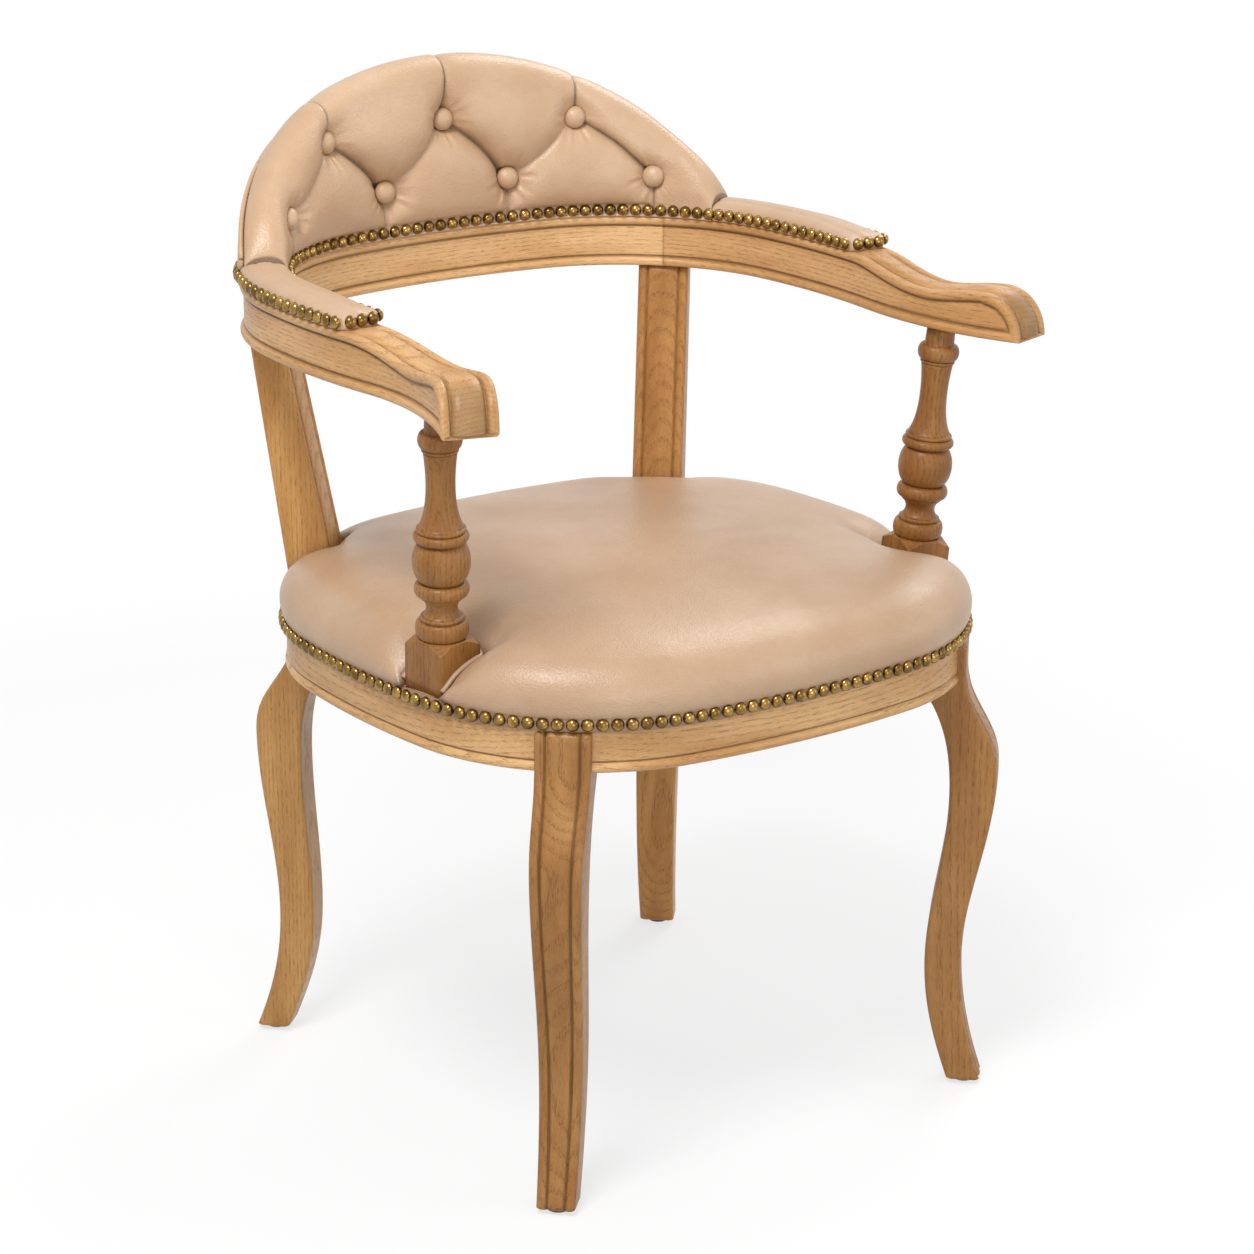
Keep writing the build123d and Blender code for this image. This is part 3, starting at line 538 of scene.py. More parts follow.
class Finishes:
    """Every finish of the chair, made once."""

    def __init__(self) -> None:
        """Makes the materials."""
        # The oak copies differ in lightness partly as real tone and partly as painted light: the bow and arms
        # lightest, the legs and post darker as light falls from above, and each rear leg a copy lit for its
        # own side
        self.leg = Oak("oak_leg", (176, 129, 74), (146, 98, 48), (22.0, 5.0), 75.0).material()
        self.rear_left = Oak("oak_rear_leg_left", (213, 156, 90), (176, 119, 60), (-22.0, -7.0)).material()
        self.rear_right = Oak("oak_rear_leg_right", (221, 170, 103), (187, 133, 72), (-22.0, -7.0)).material()
        self.post = Oak("oak_post", (162, 114, 60), (132, 84, 36), (13.0, -11.0)).material()
        self.rail = Oak("oak_rail", (220, 178, 124), (188, 140, 88), (-38.0, -30.0)).material()
        self.bow = Oak("oak_bow", (238, 197, 144), (212, 165, 110), (-8.0, -62.0)).material()
        self.arm = Oak("oak_arm", (219, 174, 121), (189, 140, 87), (-8.0, -50.0)).material()
        self.inner_wood = Beech("inner_beech").material()
        self.leather = Leather("leather_seat").material()
        # The back's leather is a lighter copy of the seat's and the pads' lies between: painted light on the
        # upper parts
        back = Leather("leather_back", (204, 172, 140), (191, 155, 121), cloud_scale=17.0, roughness=0.33)
        self.back_leather = back.material()
        self.pad_leather = Leather("leather_pad", (198, 166, 135), (186, 151, 118), roughness=0.42).material()
        self.cut_edge = Leather("leather_edge", (232, 208, 182), (218, 190, 160), roughness=0.6).material()
        self.brass = Brass("antique_brass").material()
        self.cloth = Cloth("dust_cloth").material()
        self.glide = Plastic("glide_plastic").material()


class Slot(Enum):
    """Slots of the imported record."""

    OAK = "oak"
    LEATHER = "leather"
    BRASS = "brass"
    CLOTH = "dust_cloth"
    GLIDE = "glide"


def dress(piece: Piece, finish: Material, slot: Slot, *nodes: str) -> Piece:
    """Gives a piece its finish and its place in the frame.

    Args:
        piece: The finished mesh.
        finish: Its material.
        slot: The record's slot that the finish comes from; not used.
        nodes: Nodes that the piece stands for.

    Returns:
        The piece.
    """
    piece.data.materials.clear()
    piece.data.materials.append(finish)
    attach(piece, BODY)
    if nodes:
        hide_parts(*nodes)
    LOG.info("%s: %d faces", piece.name, len(piece.data.polygons))
    return piece


# Plans and lines that several sub-assemblies share


@dataclass(frozen=True)
class BowedPlan:
    """A plan with bowed sides and ends and round corners, about a middle on the Y axis."""

    half_width: float
    half_depth: float
    side_radius: float
    end_radius: float
    corner_radius: float
    middle_y: float

    def corner(self) -> tuple[Array, float, float]:
        """Centre of the corner arc in the first quadrant, and the turns where it starts and ends."""
        side = np.array([self.half_width - self.side_radius, 0.0])
        end = np.array([0.0, self.half_depth - self.end_radius])
        to_side = self.side_radius - self.corner_radius
        to_end = self.end_radius - self.corner_radius
        between = end - side
        span = np.linalg.norm(between)
        along = (to_side**2 - to_end**2 + span**2) / (2 * span)
        across = math.sqrt(to_side**2 - along**2)
        way = between / span
        centre = side + way * along + left_of(way) * across
        start = math.degrees(math.atan2(centre[1], centre[0] - side[0]))
        finish = 90 - math.degrees(math.atan2(centre[0], centre[1] - end[1]))
        return centre, start, finish

    def place(self, turn: Array, offset: Array | float = 0.0) -> Array:
        """Points of the plan where its normal has the given turn, moved outwards by offset."""
        way = unit(turn)
        folded = np.degrees(np.arctan2(np.abs(way[..., 1]), np.abs(way[..., 0])))
        centre, start, finish = self.corner()
        sides, ends = folded < start, folded > finish
        reach = np.where(sides, self.side_radius, np.where(ends, self.end_radius, self.corner_radius))
        x = np.where(sides, self.half_width - self.side_radius, np.where(ends, 0.0, centre[0]))
        y = np.where(sides, 0.0, np.where(ends, self.half_depth - self.end_radius, centre[1]))
        sign = np.sign(way)
        points = np.stack([x, y], -1) * sign + way * (reach + offset)[..., None]
        return points + (0.0, self.middle_y)

    def even_turns(self, count: int) -> Array:
        """Turns of points at equal spacing round the plan, the first at the front."""
        fine = np.linspace(-90, 270, 2881)
        lengths = run_along(self.place(fine))
        return np.interp(np.linspace(0, lengths[-1], count, endpoint=False), lengths, fine)

    def length(self) -> float:
        """Length round the plan."""
        return float(run_along(self.place(np.linspace(0, 360, 1441)))[-1])


SEAT = BowedPlan(264.0, 244.0, 775.0, 809.0, 175.0, -29.0)
BOW = BowedPlan(254.0, 235.0, 583.0, 609.0, 181.0, 21.0)
SEAT_MIDDLE = np.array([0.0, SEAT.middle_y])


def drawn_in(plan: Array, keep: float) -> Array:
    """Plan points brought towards the seat's middle, to a share of their distance."""
    return (plan - SEAT_MIDDLE) * keep + SEAT_MIDDLE


class ArmLine:
    """Centre line of bow and arm: from the middle of the back, at length 0, to the nose on the +X side."""

    flare_start = 7.9
    flare_radius = 273.0
    flare_turn = 26.0
    bow_samples = 900
    flare_samples = 400

    def __init__(self) -> None:
        """Samples the line finely."""
        bow_turns = np.linspace(90, -self.flare_start, self.bow_samples)
        start = BOW.place(np.array([-self.flare_start]))[0]
        centre = start + unit(-self.flare_start) * self.flare_radius
        flare_turns = np.linspace(-self.flare_start, self.flare_turn, self.flare_samples)[1:]
        self.points = np.vstack([BOW.place(bow_turns), centre - unit(flare_turns) * self.flare_radius])
        self.turns = np.concatenate([bow_turns, flare_turns])
        self.lengths = run_along(self.points)
        self.end = float(self.lengths[-1])
        from_seat = self.points - SEAT_MIDDLE
        self.azimuths = np.degrees(np.arctan2(from_seat[:, 0], from_seat[:, 1]))

    def at(self, length: Array) -> tuple[Array, Array]:
        """Points and outward normals at lengths from the middle; negative lengths are on the -X side."""
        reach = np.abs(length)
        points = np.stack([np.interp(reach, self.lengths, column) for column in self.points.T], -1)
        normals = unit(np.interp(reach, self.lengths, self.turns))
        sign = np.where(np.asarray(length) < 0, -1.0, 1.0)
        flip = np.stack([sign, np.ones_like(sign)], -1)
        return points * flip, normals * flip

    def at_azimuth(self, azimuth: float) -> float:
        """Length where the line lies in a direction from the seat's centre, in degrees from +Y."""
        near = slice(0, self.bow_samples)
        length = np.interp(abs(azimuth), self.azimuths[near], self.lengths[near])
        return math.copysign(float(length), azimuth)


LINE = ArmLine()


class Probe:
    """Reads the surface of a mesh by rays."""

    def __init__(self, mesh: bpy.types.Mesh) -> None:
        """Copies the mesh's faces into a search tree."""
        corners = [vertex.co.copy() for vertex in mesh.vertices]
        self.tree = BVHTree.FromPolygons(corners, [tuple(face.vertices) for face in mesh.polygons])

    def reach(self, start: Array, way: Array) -> float:
        """Distance in millimetres from start to the surface along way."""
        found = self.tree.ray_cast(Vector(start * MM), Vector(way))
        return float("nan") if found[3] is None else found[3] / MM


# Legs and posts


@dataclass
class Leg:
    """A sabre leg with grooves down its face. A rear one runs up as a post under the bow."""

    node: str
    turn: float
    top: float
    # Painted shade laid over the whole leg below the rail, and over the whole post above it
    low_painted_shade: float = 0.0
    high_painted_shade: float = 0.0
    foot_width: float = 31.0
    block_width: float = 44.0
    foot_bottom: float = 4.0
    rail_bottom: float = 359.0
    strip_bottom: float = 392.0
    rail_top: float = 405.0
    groove_inset: float = 8.0
    groove_depth: float = 2.3
    edge_radius: float = 3.4
    knee_ease: float = 13.0
    step: float = 4.0
    hair: float = 0.05
    foot_ease: float = 1.2
    strip_rebate: float = 1.6
    ease_span: int = 40
    ray_start: float = 500.0
    grain_middle: float = 240.0

    def face_points(self, half: float) -> list[Triple]:
        """Across a grooved face from its middle to its edge: offset, depth, and painted shade with dark glaze
        in the groove.
        """
        groove = half - self.groove_inset
        deep = self.groove_depth
        points = [(0.0, -0.4, 0.0), (groove * 0.5, -0.3, 0.0), (groove - 3.4, 0.0, 0.0)]
        points += [(groove - 2.3, 0.2, 0.05), (groove - 1.5, deep * 0.38, 0.3)]
        points += [(groove - 0.75, deep * 0.8, 0.75), (groove, deep, 0.95)]
        middle, bead = self.bead_middle(half), self.groove_inset / 2 - 0.15
        for angle in (162, 145, 127, 108, 90, 70, 50, 30, 12, 0):
            bend = math.radians(angle)
            fall = deep * 0.92 if angle > 90 else self.edge_radius
            glaze_and_shade = 0.4 if angle > 150 else 0.0
            points.append((middle + bead * math.cos(bend), fall * (1 - math.sin(bend)), glaze_and_shade))
        return points

    def bead_middle(self, half: float) -> float:
        """Distance of the outer bead's crown from the middle of the face."""
        return half - self.groove_inset / 2 + 0.15

    def ring(self, half: float, inner: float, outer: float, inner_groove: float) -> tuple[Array, Array]:
        """One level of the leg: distances outwards and across, with the painted shade at each point."""
        side = self.face_points(half)
        outside = [(outer - deep, across, shade) for across, deep, shade in side]
        inside = []
        for across, deep, shade in side:
            share = 1.0 if across > self.bead_middle(half) else inner_groove
            inside.append((inner + deep * share, across, shade * inner_groove))
        half_ring = outside + inside[::-1]
        other = [(reach, -across, shade) for reach, across, shade in half_ring[-2:0:-1]]
        full = np.array(half_ring + other)
        return full[:, :2], full[:, 2]

    def eased(self, heights: Array, reaches: Array) -> Array:
        """The leg's reach with its knee drawn as one soft curve below the rail."""
        span = self.ease_span
        weight = np.exp(-((np.arange(-span, span + 1) / self.knee_ease) ** 2))
        before, after = 2 * reaches[0] - reaches[span:0:-1], np.full(span, reaches[-1])
        soft = np.convolve(np.concatenate([before, reaches, after]), weight / weight.sum(), "valid")
        share = smooth_step(heights, self.rail_bottom - 2, self.rail_bottom - span)
        return reaches * (1 - share) + soft * share

    def build(self) -> Piece:
        """Lofts the leg through levels read from its node."""
        probe = Probe(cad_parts[self.node].data)
        way = unit(self.turn)
        hair, foot_edge = self.hair, self.foot_bottom + self.foot_ease
        heights = list(np.arange(self.foot_bottom + self.step, self.top - 1, self.step))
        heights += [self.foot_bottom + hair, foot_edge, self.top - hair]
        for ledge in (self.strip_bottom, self.rail_top):
            heights += [ledge - hair, ledge + hair]
        fine = np.arange(self.foot_bottom + 0.1, self.top - 0.02, 1.0)
        far = SEAT_MIDDLE + way * self.ray_start
        outers, inners = [], []
        for height in fine:
            outers.append(self.ray_start - probe.reach(np.array([*far, height]), np.array([*(-way), 0.0])))
            inners.append(probe.reach(np.array([*SEAT_MIDDLE, height]), np.array([*way, 0.0])))
        outers, inners = self.eased(fine, np.array(outers)), self.eased(fine, np.array(inners))
        rows, shades, timber = [], [], []
        for height in sorted(height for height in heights if height < self.top):
            outer = float(np.interp(height, fine, outers))
            inner = float(np.interp(height, fine, inners))
            share = min(1.0, (height - self.foot_bottom) / (self.rail_bottom - self.foot_bottom))
            half = (self.foot_width + (self.block_width - self.foot_width) * share) / 2
            ease = foot_edge - height
            if ease > 0:
                half, outer, inner = half - ease, outer - ease, inner + ease
            if self.strip_bottom < height < self.rail_top:
                outer -= self.strip_rebate
            section, shade = self.ring(half, inner, outer, 1.0 if height > self.rail_top else 0.0)
            plan = SEAT_MIDDLE + section[:, :1] * way + section[:, 1:] * left_of(way)
            rows.append(raised(plan, height))
            timber.append(raised(section - (self.grain_middle, 0.0), height + TURN_SHIFT * self.turn))
            # Painted shade: the leg below the rail and the post above it are darkened as a whole where they
            # fall in shade
            shades.append(np.maximum(shade, self.low_painted_shade if height < self.rail_bottom else self.high_painted_shade))
        looks = {"shade": np.array(shades), "grain": np.array(timber)}
        return lofted(np.array(rows), f"oak_{self.node}", **looks)


@dataclass
class TurnedPost:
    """Turned arm post on a square block, leaning from the side rail to the arm."""

    foot: Triple = (237.0, -113.5, 405.0)
    head: Triple = (248.0, -128.5, 630.0)
    block: float = 41.0
    block_height: float = 43.0
    block_turn: float = -8.0
    shoulder_drop: float = 6.5
    shoulder_radius: float = 17.5
    bevel: float = 0.8
    sides: int = 64

    def frame(self) -> tuple[Array, Array, Array, Array]:
        """Foot, and directions across the block, sideways and up the axis."""
        foot, head = np.array(self.foot), np.array(self.head)
        axis = (head - foot) / np.linalg.norm(head - foot)
        out = np.array([*unit(self.block_turn), 0.0])
        out = out - axis * out.dot(axis)
        out /= np.linalg.norm(out)
        return foot, out, np.cross(axis, out), axis

    def outline(self) -> Array:
        """Radius and height up the turning, from the block to the neck, with painted shade in the necks
        between the beads.
        """
        base = self.block_height
        knots: list[Triple] = []

        def bead(bottom: float, height: float, radius: float, neck: float) -> None:
            """Adds a half-round roll between two necks."""
            for angle in np.linspace(-90, 90, 15):
                bend = math.radians(angle)
                swell = neck + (radius - neck) * math.cos(bend) ** (0.8 if height < 20 else 1.25)
                knots.append((swell, bottom + height / 2 * (1 + math.sin(bend)), 0.0))
            knots.append((neck, bottom + height, 1.0))

        def hollow(bottom: float, height: float, start: float, waist: float, end: float) -> None:
            """Adds a cove that is narrowest at its middle."""
            for share in np.linspace(0.06, 0.94, 12):
                edge = start + (end - start) * share
                radius = edge - (edge - waist) * math.sin(math.pi * share) ** 0.8
                knots.append((radius, bottom + height * share, 0.0))

        knots.append((17.6, base - 6.0, 1.0))
        bead(base, 14.0, 20.9, 17.4)
        bead(base + 14.0, 3.5, 17.2, 15.6)
        hollow(base + 17.5, 14.0, 15.6, 12.2, 15.6)
        bead(base + 31.5, 2.2, 16.5, 15.2)
        bead(base + 33.7, 11.8, 21.4, 16.0)
        bead(base + 45.5, 32.8, 22.6, 15.8)
        bead(base + 78.3, 8.2, 21.6, 16.8)
        bead(base + 86.5, 3.2, 19.4, 18.0)
        shaft = [(18.0, 89.7), (15.4, 95.0), (13.2, 103.0), (11.9, 112.0), (11.4, 122.0), (11.6, 133.0)]
        shaft += [(12.4, 143.0), (13.3, 150.5)]
        for radius, height in curve_through(shaft, 26):
            knots.append((radius, base + height, 0.0))
        bead(base + 150.5, 2.8, 14.4, 13.0)
        bead(base + 153.3, 13.2, 17.2, 12.6)
        knots += [(12.2, base + 168.0, 0.2), (11.9, base + 175.0, 0.0), (12.2, base + 190.0, 0.0)]
        return np.array(knots)

    def build(self, name: str, mirrored: bool) -> Piece:
        """Turns the post and stands it on its block."""
        foot, out, side, axis = self.frame()
        ring = unit(np.linspace(0, 360, self.sides, endpoint=False))
        around = ring[:, :1] * out + ring[:, 1:] * side
        half, neck = self.block / 2, self.shoulder_radius
        shell = Shell()
        # The block: its shoulder is turned, so its faces end in scalloped arcs
        square = np.minimum((half - self.bevel) / np.abs(ring).max(axis=1), half * 1.375)
        rows = []
        spread = np.abs(ring).sum(axis=1)
        for share in np.linspace(0, 1, 9):
            radius = neck + (square - neck) * share
            drop = self.shoulder_drop * np.clip((radius * spread / half - 1.28) / 0.72, 0, 1)
            rows.append((radius, self.block_height - drop))
        edge_radius, edge_height = rows[-1]
        for grow, fall in ((0.35, 0.25), (0.7, 0.7), (self.bevel, 1.4)):
            rows.append((edge_radius * (1 + grow / half), edge_height - fall))
        low = rows[-1][0]
        rows += [(low, np.full(len(low), height)) for height in (20.0, 10.0, -5.0)]
        # Painted shade where the turning meets the block's shoulder
        shade = np.zeros((len(rows), 1))
        shade[0] = 0.9
        grid = np.array([foot + radius[:, None] * around + height[:, None] * axis for radius, height in rows])
        grid[..., 2] = np.maximum(grid[..., 2], self.foot[2] - 0.5)
        shell.loft(grid, shade, np.array([raised(radius[:, None] * ring, height) for radius, height in rows]))
        # The turning
        outline = self.outline()
        radius, height = outline[:, None, :1], outline[:, None, 1:2]
        turned = foot + radius * around + height * axis
        turned[..., 2] = np.minimum(turned[..., 2], self.head[2] + 0.5)
        timber = np.concatenate([radius * ring, np.broadcast_to(height, (*turned.shape[:2], 1))], -1)
        shell.loft(turned, outline[:, 2:], timber)
        return shell.piece(name, mirrored)


# Seat


@dataclass
class SeatRail:
    """One bowed rail between two legs: a plain face over a bead."""

    node: str
    first_turn: float
    last_turn: float
    bottom: float = 359.0
    top: float = 405.0
    thickness: float = 34.0
    bead: float = 8.0
    face_depth: float = 1.5
    bow_share: float = 0.3
    stations: int = 90

    def section(self) -> list[Triple]:
        """Distance inwards from the plan, height and painted shade, round the rail."""
        low, face = self.bottom, self.face_depth
        points = [(self.thickness, low, 0.0), (6.0, low, 0.0), (3.2, low + 0.05, 0.0)]
        middle = low + self.bead / 2
        for angle in np.linspace(-80, 80, 9):
            bend = math.radians(angle)
            points.append((3.2 - 3.2 * math.cos(bend), middle + self.bead / 2 * math.sin(bend), 0.0))
        over = low + self.bead
        # Painted shade in the groove over the bead, and in a line under the top edge
        points += [(2.6, over + 0.3, 0.7), (3.0, over + 0.8, 1.0), (2.6, over + 1.4, 0.8)]
        points += [(face + 0.2, over + 1.9, 0.2), (face, over + 2.6, 0.0), (face, self.top - 16.0, 0.0)]
        points += [(face, self.top - 0.4, 0.5), (face + 0.5, self.top, 0.0), (self.thickness, self.top, 0.0)]
        return points

    def build(self) -> Piece:
        """Sweeps the rail along its stretch of the plan."""
        turns = np.linspace(self.first_turn, self.last_turn, self.stations)
        section = np.array(self.section())
        grid = np.array([raised(SEAT.place(turns, -inset), height) for inset, height, _ in section])
        plan = SEAT.place(turns)
        bow = plan @ unit((self.first_turn + self.last_turn) / 2)
        out = self.bow_share * (bow - bow.min())[:, None] - section[None, :, 0]
        up = np.broadcast_to(section[:, 1] - self.bottom, out.shape)
        along = np.broadcast_to(run_along(plan)[:, None] + TURN_SHIFT * self.first_turn, out.shape)
        looks = {"shade": section[None, :, 2], "grain": np.stack([out, up, along], -1)}
        return lofted(grid.transpose(1, 0, 2), f"oak_{self.node}", **looks)


@dataclass
class Notch:
    """A place where the seat leather is cut round a post."""

    middle: Pair
    turn: float
    back: float
    half: float
    roll: float
    hollow: float

    def local(self, points: Array) -> tuple[Array, Array]:
        """Distances outwards and across from the notch's middle."""
        way = unit(self.turn)
        offset = points[..., :2] - np.array(self.middle)
        return offset @ way, offset @ left_of(way)

    def distance(self, points: Array) -> Array:
        """Distance from the notch's edge; 0 inside it."""
        out, across = self.local(points)
        return np.hypot(np.maximum(-self.back - out, 0), np.maximum(np.abs(across) - self.half, 0))

    def holds(self, place: Array, slack: float = 0.0) -> bool:
        """Whether a place lies in the notch, or within slack of it."""
        out, across = self.local(place)
        return out > -self.back - slack and abs(across) < self.half + slack


@dataclass
class Seat:
    """Domed leather seat with its nailed strip and welts."""

    rail_top: float = 405.0
    dome: tuple[Pair, ...] = (
        (2.0, -5.0), (-0.8, -2.0), (-2.8, 3.0), (-3.7, 9.0), (-3.2, 16.0), (0.4, 25.0),
        (8.0, 34.0), (20.0, 41.5), (42.0, 48.5), (75.0, 53.0), (120.0, 56.0),
    )
    crown: float = 4.6
    columns: int = 640
    dome_rows: int = 52
    crown_rows: int = 26
    under_share: float = 0.9
    press_rise: float = 30.0
    press_spread: float = 21.0
    notch_reach: float = 75.0
    rim_slack: float = 0.1
    rim_reach: float = 60.0
    block_middle: Pair = (237.0, -113.5)
    block_turn: float = -8.0
    block_half: float = 20.8
    notch_ease: float = 2.0
    welt_radius: float = 2.6
    welt_outer: float = 20.5
    welt_bend: float = 6.0
    welt_ray: float = 600.0
    welt_beside: float = 2.2
    welt_lift: float = 1.3
    post_turn: float = 47.5
    post_reach: float = 244.0
    nail_height: float = 398.6
    nail_pitch: float = 11.35
    nail_stand: float = 0.8
    nail_rise: float = 0.05
    notches: list[Notch] = field(default_factory=list)

    def __post_init__(self) -> None:
        """Sets a notch round each arm post's block and each rear post."""
        for sign in (1, -1):
            block = (sign * self.block_middle[0], self.block_middle[1])
            turn = self.block_turn if sign > 0 else 180 - self.block_turn
            gap = self.block_half + self.notch_ease
            self.notches.append(Notch(block, turn, back=gap, half=gap, roll=10.0, hollow=20.0))
            turn = self.post_turn if sign > 0 else 180 - self.post_turn
            place = unit(turn) * self.post_reach + SEAT_MIDDLE
            post = (place[0], place[1])
            self.notches.append(Notch(post, turn, back=1.5, half=23.5, roll=9.0, hollow=4.0))

    def pressed(self, points: Array) -> Array:
        """Points of the dome, rolled down at the notches and hollowed round them."""
        shaped = points.copy()
        for notch in self.notches:
            gap = notch.distance(points)
            near = np.clip(1 - gap / notch.roll, 0, 1)
            lift = np.clip((points[..., 2] - self.rail_top) / self.press_rise, 0, 1)
            drop = notch.roll * (1 - np.sqrt(1 - 0.96 * near**2)) * 0.9
            drop = drop + notch.hollow * np.exp(-((gap / self.press_spread) ** 1.5))
            shaped[..., 2] -= drop * lift
        return shaped

    def dome_grid(self) -> Array:
        """Rows of the dome from its tucked edge to its middle."""
        turns = SEAT.even_turns(self.columns)
        rows = []
        for inset, height in curve_through(list(self.dome), self.dome_rows):
            rows.append(raised(SEAT.place(turns, -inset), self.rail_top + height))
        last = rows[-1]
        for share in np.linspace(0, 1, self.crown_rows)[1:]:
            keep = 1 - share
            rows.append(raised(drawn_in(last[:, :2], keep), last[:, 2] + self.crown * (1 - keep**2)))
        return np.array(rows)

    def build_cushion(self) -> Piece:
        """Builds the leather dome and cuts its notches."""
        shell = Shell()
        plain = self.dome_grid()
        grid = self.pressed(plain)
        gap = np.min([notch.distance(plain) for notch in self.notches], axis=0)
        # Painted shade in a dark band along the cut round each post
        shell.grid(grid, shade=0.75 * np.exp(-((np.maximum(gap - 2, 0) / 2.6) ** 2)))
        rim = grid[0]
        shell.grid(np.array([raised(drawn_in(rim[:, :2], self.under_share), rim[:, 2]), rim]))
        piece = shell.piece("leather_seat")
        for notch in self.notches:
            self.cut(piece, notch)
        return piece

    def cut(self, piece: Piece, notch: Notch) -> None:
        """Cuts one notch along its three sides and turns the cut edge down."""

        def spot(face: bmesh.types.BMFace) -> Array:
            """Middle of a face in plan."""
            return np.array(face.calc_center_median()[:2]) / MM

        work = bmesh.new()
        work.from_mesh(piece.data)
        way = unit(notch.turn)
        side = left_of(way)
        middle = np.array(notch.middle)
        planes = [(middle - way * notch.back, way)]
        planes += [(middle + side * sign * notch.half, side) for sign in (1, -1)]
        for place, normal in planes:
            near = [face for face in work.faces if np.hypot(*(spot(face) - middle)) < self.notch_reach]
            parts = list({vert for face in near for vert in face.verts})
            edges = list({edge for face in near for edge in face.edges})
            bmesh.ops.bisect_plane(
                work,
                geom=near + edges + parts,
                dist=1e-7,
                plane_co=(*(place * MM), 0.0),
                plane_no=(*normal, 0.0),
            )
        inside = [
            face for face in work.faces
            if notch.holds(spot(face)) and np.hypot(*(spot(face) - middle)) < self.notch_reach
        ]
        bmesh.ops.delete(work, geom=inside, context="FACES")
        rim = []
        for edge in work.edges:
            if edge.is_boundary:
                place = (np.array(edge.verts[0].co[:2]) + np.array(edge.verts[1].co[:2])) / 2 / MM
                if notch.holds(place, self.rim_slack) and notch.local(place)[0] < self.rim_reach:
                    rim.append(edge)
        made = bmesh.ops.extrude_edge_only(work, edges=rim)
        shade = work.verts.layers.float.get("shade")
        for part in made["geom"]:
            if isinstance(part, bmesh.types.BMVert):
                part.co.z -= max(part.co.z - self.rail_top * MM, 0.0005)
                # The turned-down edge is darkened with painted shade
                part[shade] = 0.9
            elif isinstance(part, bmesh.types.BMFace):
                part.smooth = True
        work.to_mesh(piece.data)
        work.free()

    def build_welt(self, cushion: Piece, sign: int) -> Piece:
        """Piping that follows the cushion's edge round an arm post's block."""
        notch = self.notches[0 if sign > 0 else 2]
        way = unit(notch.turn)
        reach, half = notch.back - 0.2, notch.half - 0.2
        outer, bend = self.welt_outer, self.welt_bend
        path = []
        for flank in (1, -1):
            arm = [(outer, flank * half)]
            arm += [(along, flank * half) for along in np.linspace(outer - 2, -reach + bend, 16)]
            for angle in np.linspace(0.2, math.pi / 2, 5):
                across = flank * (half - bend + bend * math.cos(angle))
                arm.append((-reach + bend - bend * math.sin(angle), across))
            path.append(arm)
        inner = np.array(path[0] + path[1][::-1])
        beside = inner + np.where(np.abs(inner) > 20, np.sign(inner) * self.welt_beside, 0)
        axes = np.array([way, left_of(way)])
        plan, over = inner @ axes + notch.middle, beside @ axes + notch.middle
        probe, above = Probe(cushion.data), self.welt_ray
        falls = [probe.reach(np.array([x, y, above]), np.array([0.0, 0.0, -1.0])) for x, y in over]
        heights = np.nan_to_num(above - np.array(falls), nan=self.rail_top)
        points = evenly(raised(plan, np.maximum(heights + self.welt_lift, self.rail_top - 2)), 90)
        for _ in range(4):
            points[1:-1] = (points[:-2] + 2 * points[1:-1] + points[2:]) / 4
        turns = np.linspace(0, 2 * math.pi, CORD_SIDES, endpoint=False)
        # Painted shade: the welt is darkened on its sides and underside and left light on top
        shade = 0.05 + 0.8 * smooth_step(np.sin(turns), 0.85, 0.0)
        name = "leather_welt_left" if sign > 0 else "leather_welt_right"
        return lofted(tube(points, self.welt_radius), name, shade=shade)

    def build_strip(self, name: str, bottom: float, top: float, lift: float) -> Piece:
        """Thin leather band that the nails hold against the rails and leg tops."""
        turns = SEAT.even_turns(480)
        section = [
            (1.4, bottom), (0.1, bottom), (-lift, bottom + 0.6), (-lift, (bottom + top) / 2),
            (-lift, top - 0.8), (0.3, top), (1.4, top),
        ]
        grid = [raised(SEAT.place(turns, -inset), height) for inset, height in section]
        shell = Shell()
        # The band is darkened with painted shade, dark between the nails
        shell.grid(np.array(grid), ring=True, shade=0.5)
        return shell.piece(name)

    def nails(self) -> tuple[Array, Array]:
        """Places and facings of the seat's nails."""
        count = round(SEAT.length() / self.nail_pitch)
        turns = SEAT.even_turns(count)
        places = raised(SEAT.place(turns, self.nail_stand), self.nail_height)
        return places, raised(unit(turns), self.nail_rise)


@dataclass
class DustCover:
    """Lining cloth under the rails, stretched with a slight sag and drawn in round the legs."""

    inset: float = 12.0
    leg_turns: tuple[float, ...] = (-44.0, 47.5, 132.5, 224.0)
    leg_reach: float = 241.0
    leg_half: float = 22.5
    height: float = 358.6
    sag: float = 2.2
    thickness: float = 0.6

    def build(self) -> Piece:
        """Builds both sides of the cloth and its edge."""
        rim = SEAT.place(SEAT.even_turns(360), -self.inset)
        for turn in self.leg_turns:
            way = unit(turn)
            offset = rim - SEAT_MIDDLE
            out, across = offset @ way, offset @ left_of(way)
            limit = self.leg_reach + np.clip((np.abs(across) - self.leg_half) * 8, 0, 40)
            pull = np.where((out > limit) & (out > 0), limit / np.maximum(out, 1), 1.0)
            rim = offset * pull[:, None] + SEAT_MIDDLE
        rows = []
        for keep in np.linspace(1, 0, 24):
            rows.append(raised(drawn_in(rim, keep), self.height - self.sag * (1 - keep**2)))
        upper = np.array(rows)
        lower = upper - (0.0, 0.0, self.thickness)
        shell = Shell()
        for grid in (upper, lower[::-1], np.array([lower[0], upper[0]])):
            shell.grid(grid)
        return shell.piece("lining_dust_cover")


# Bow and arms


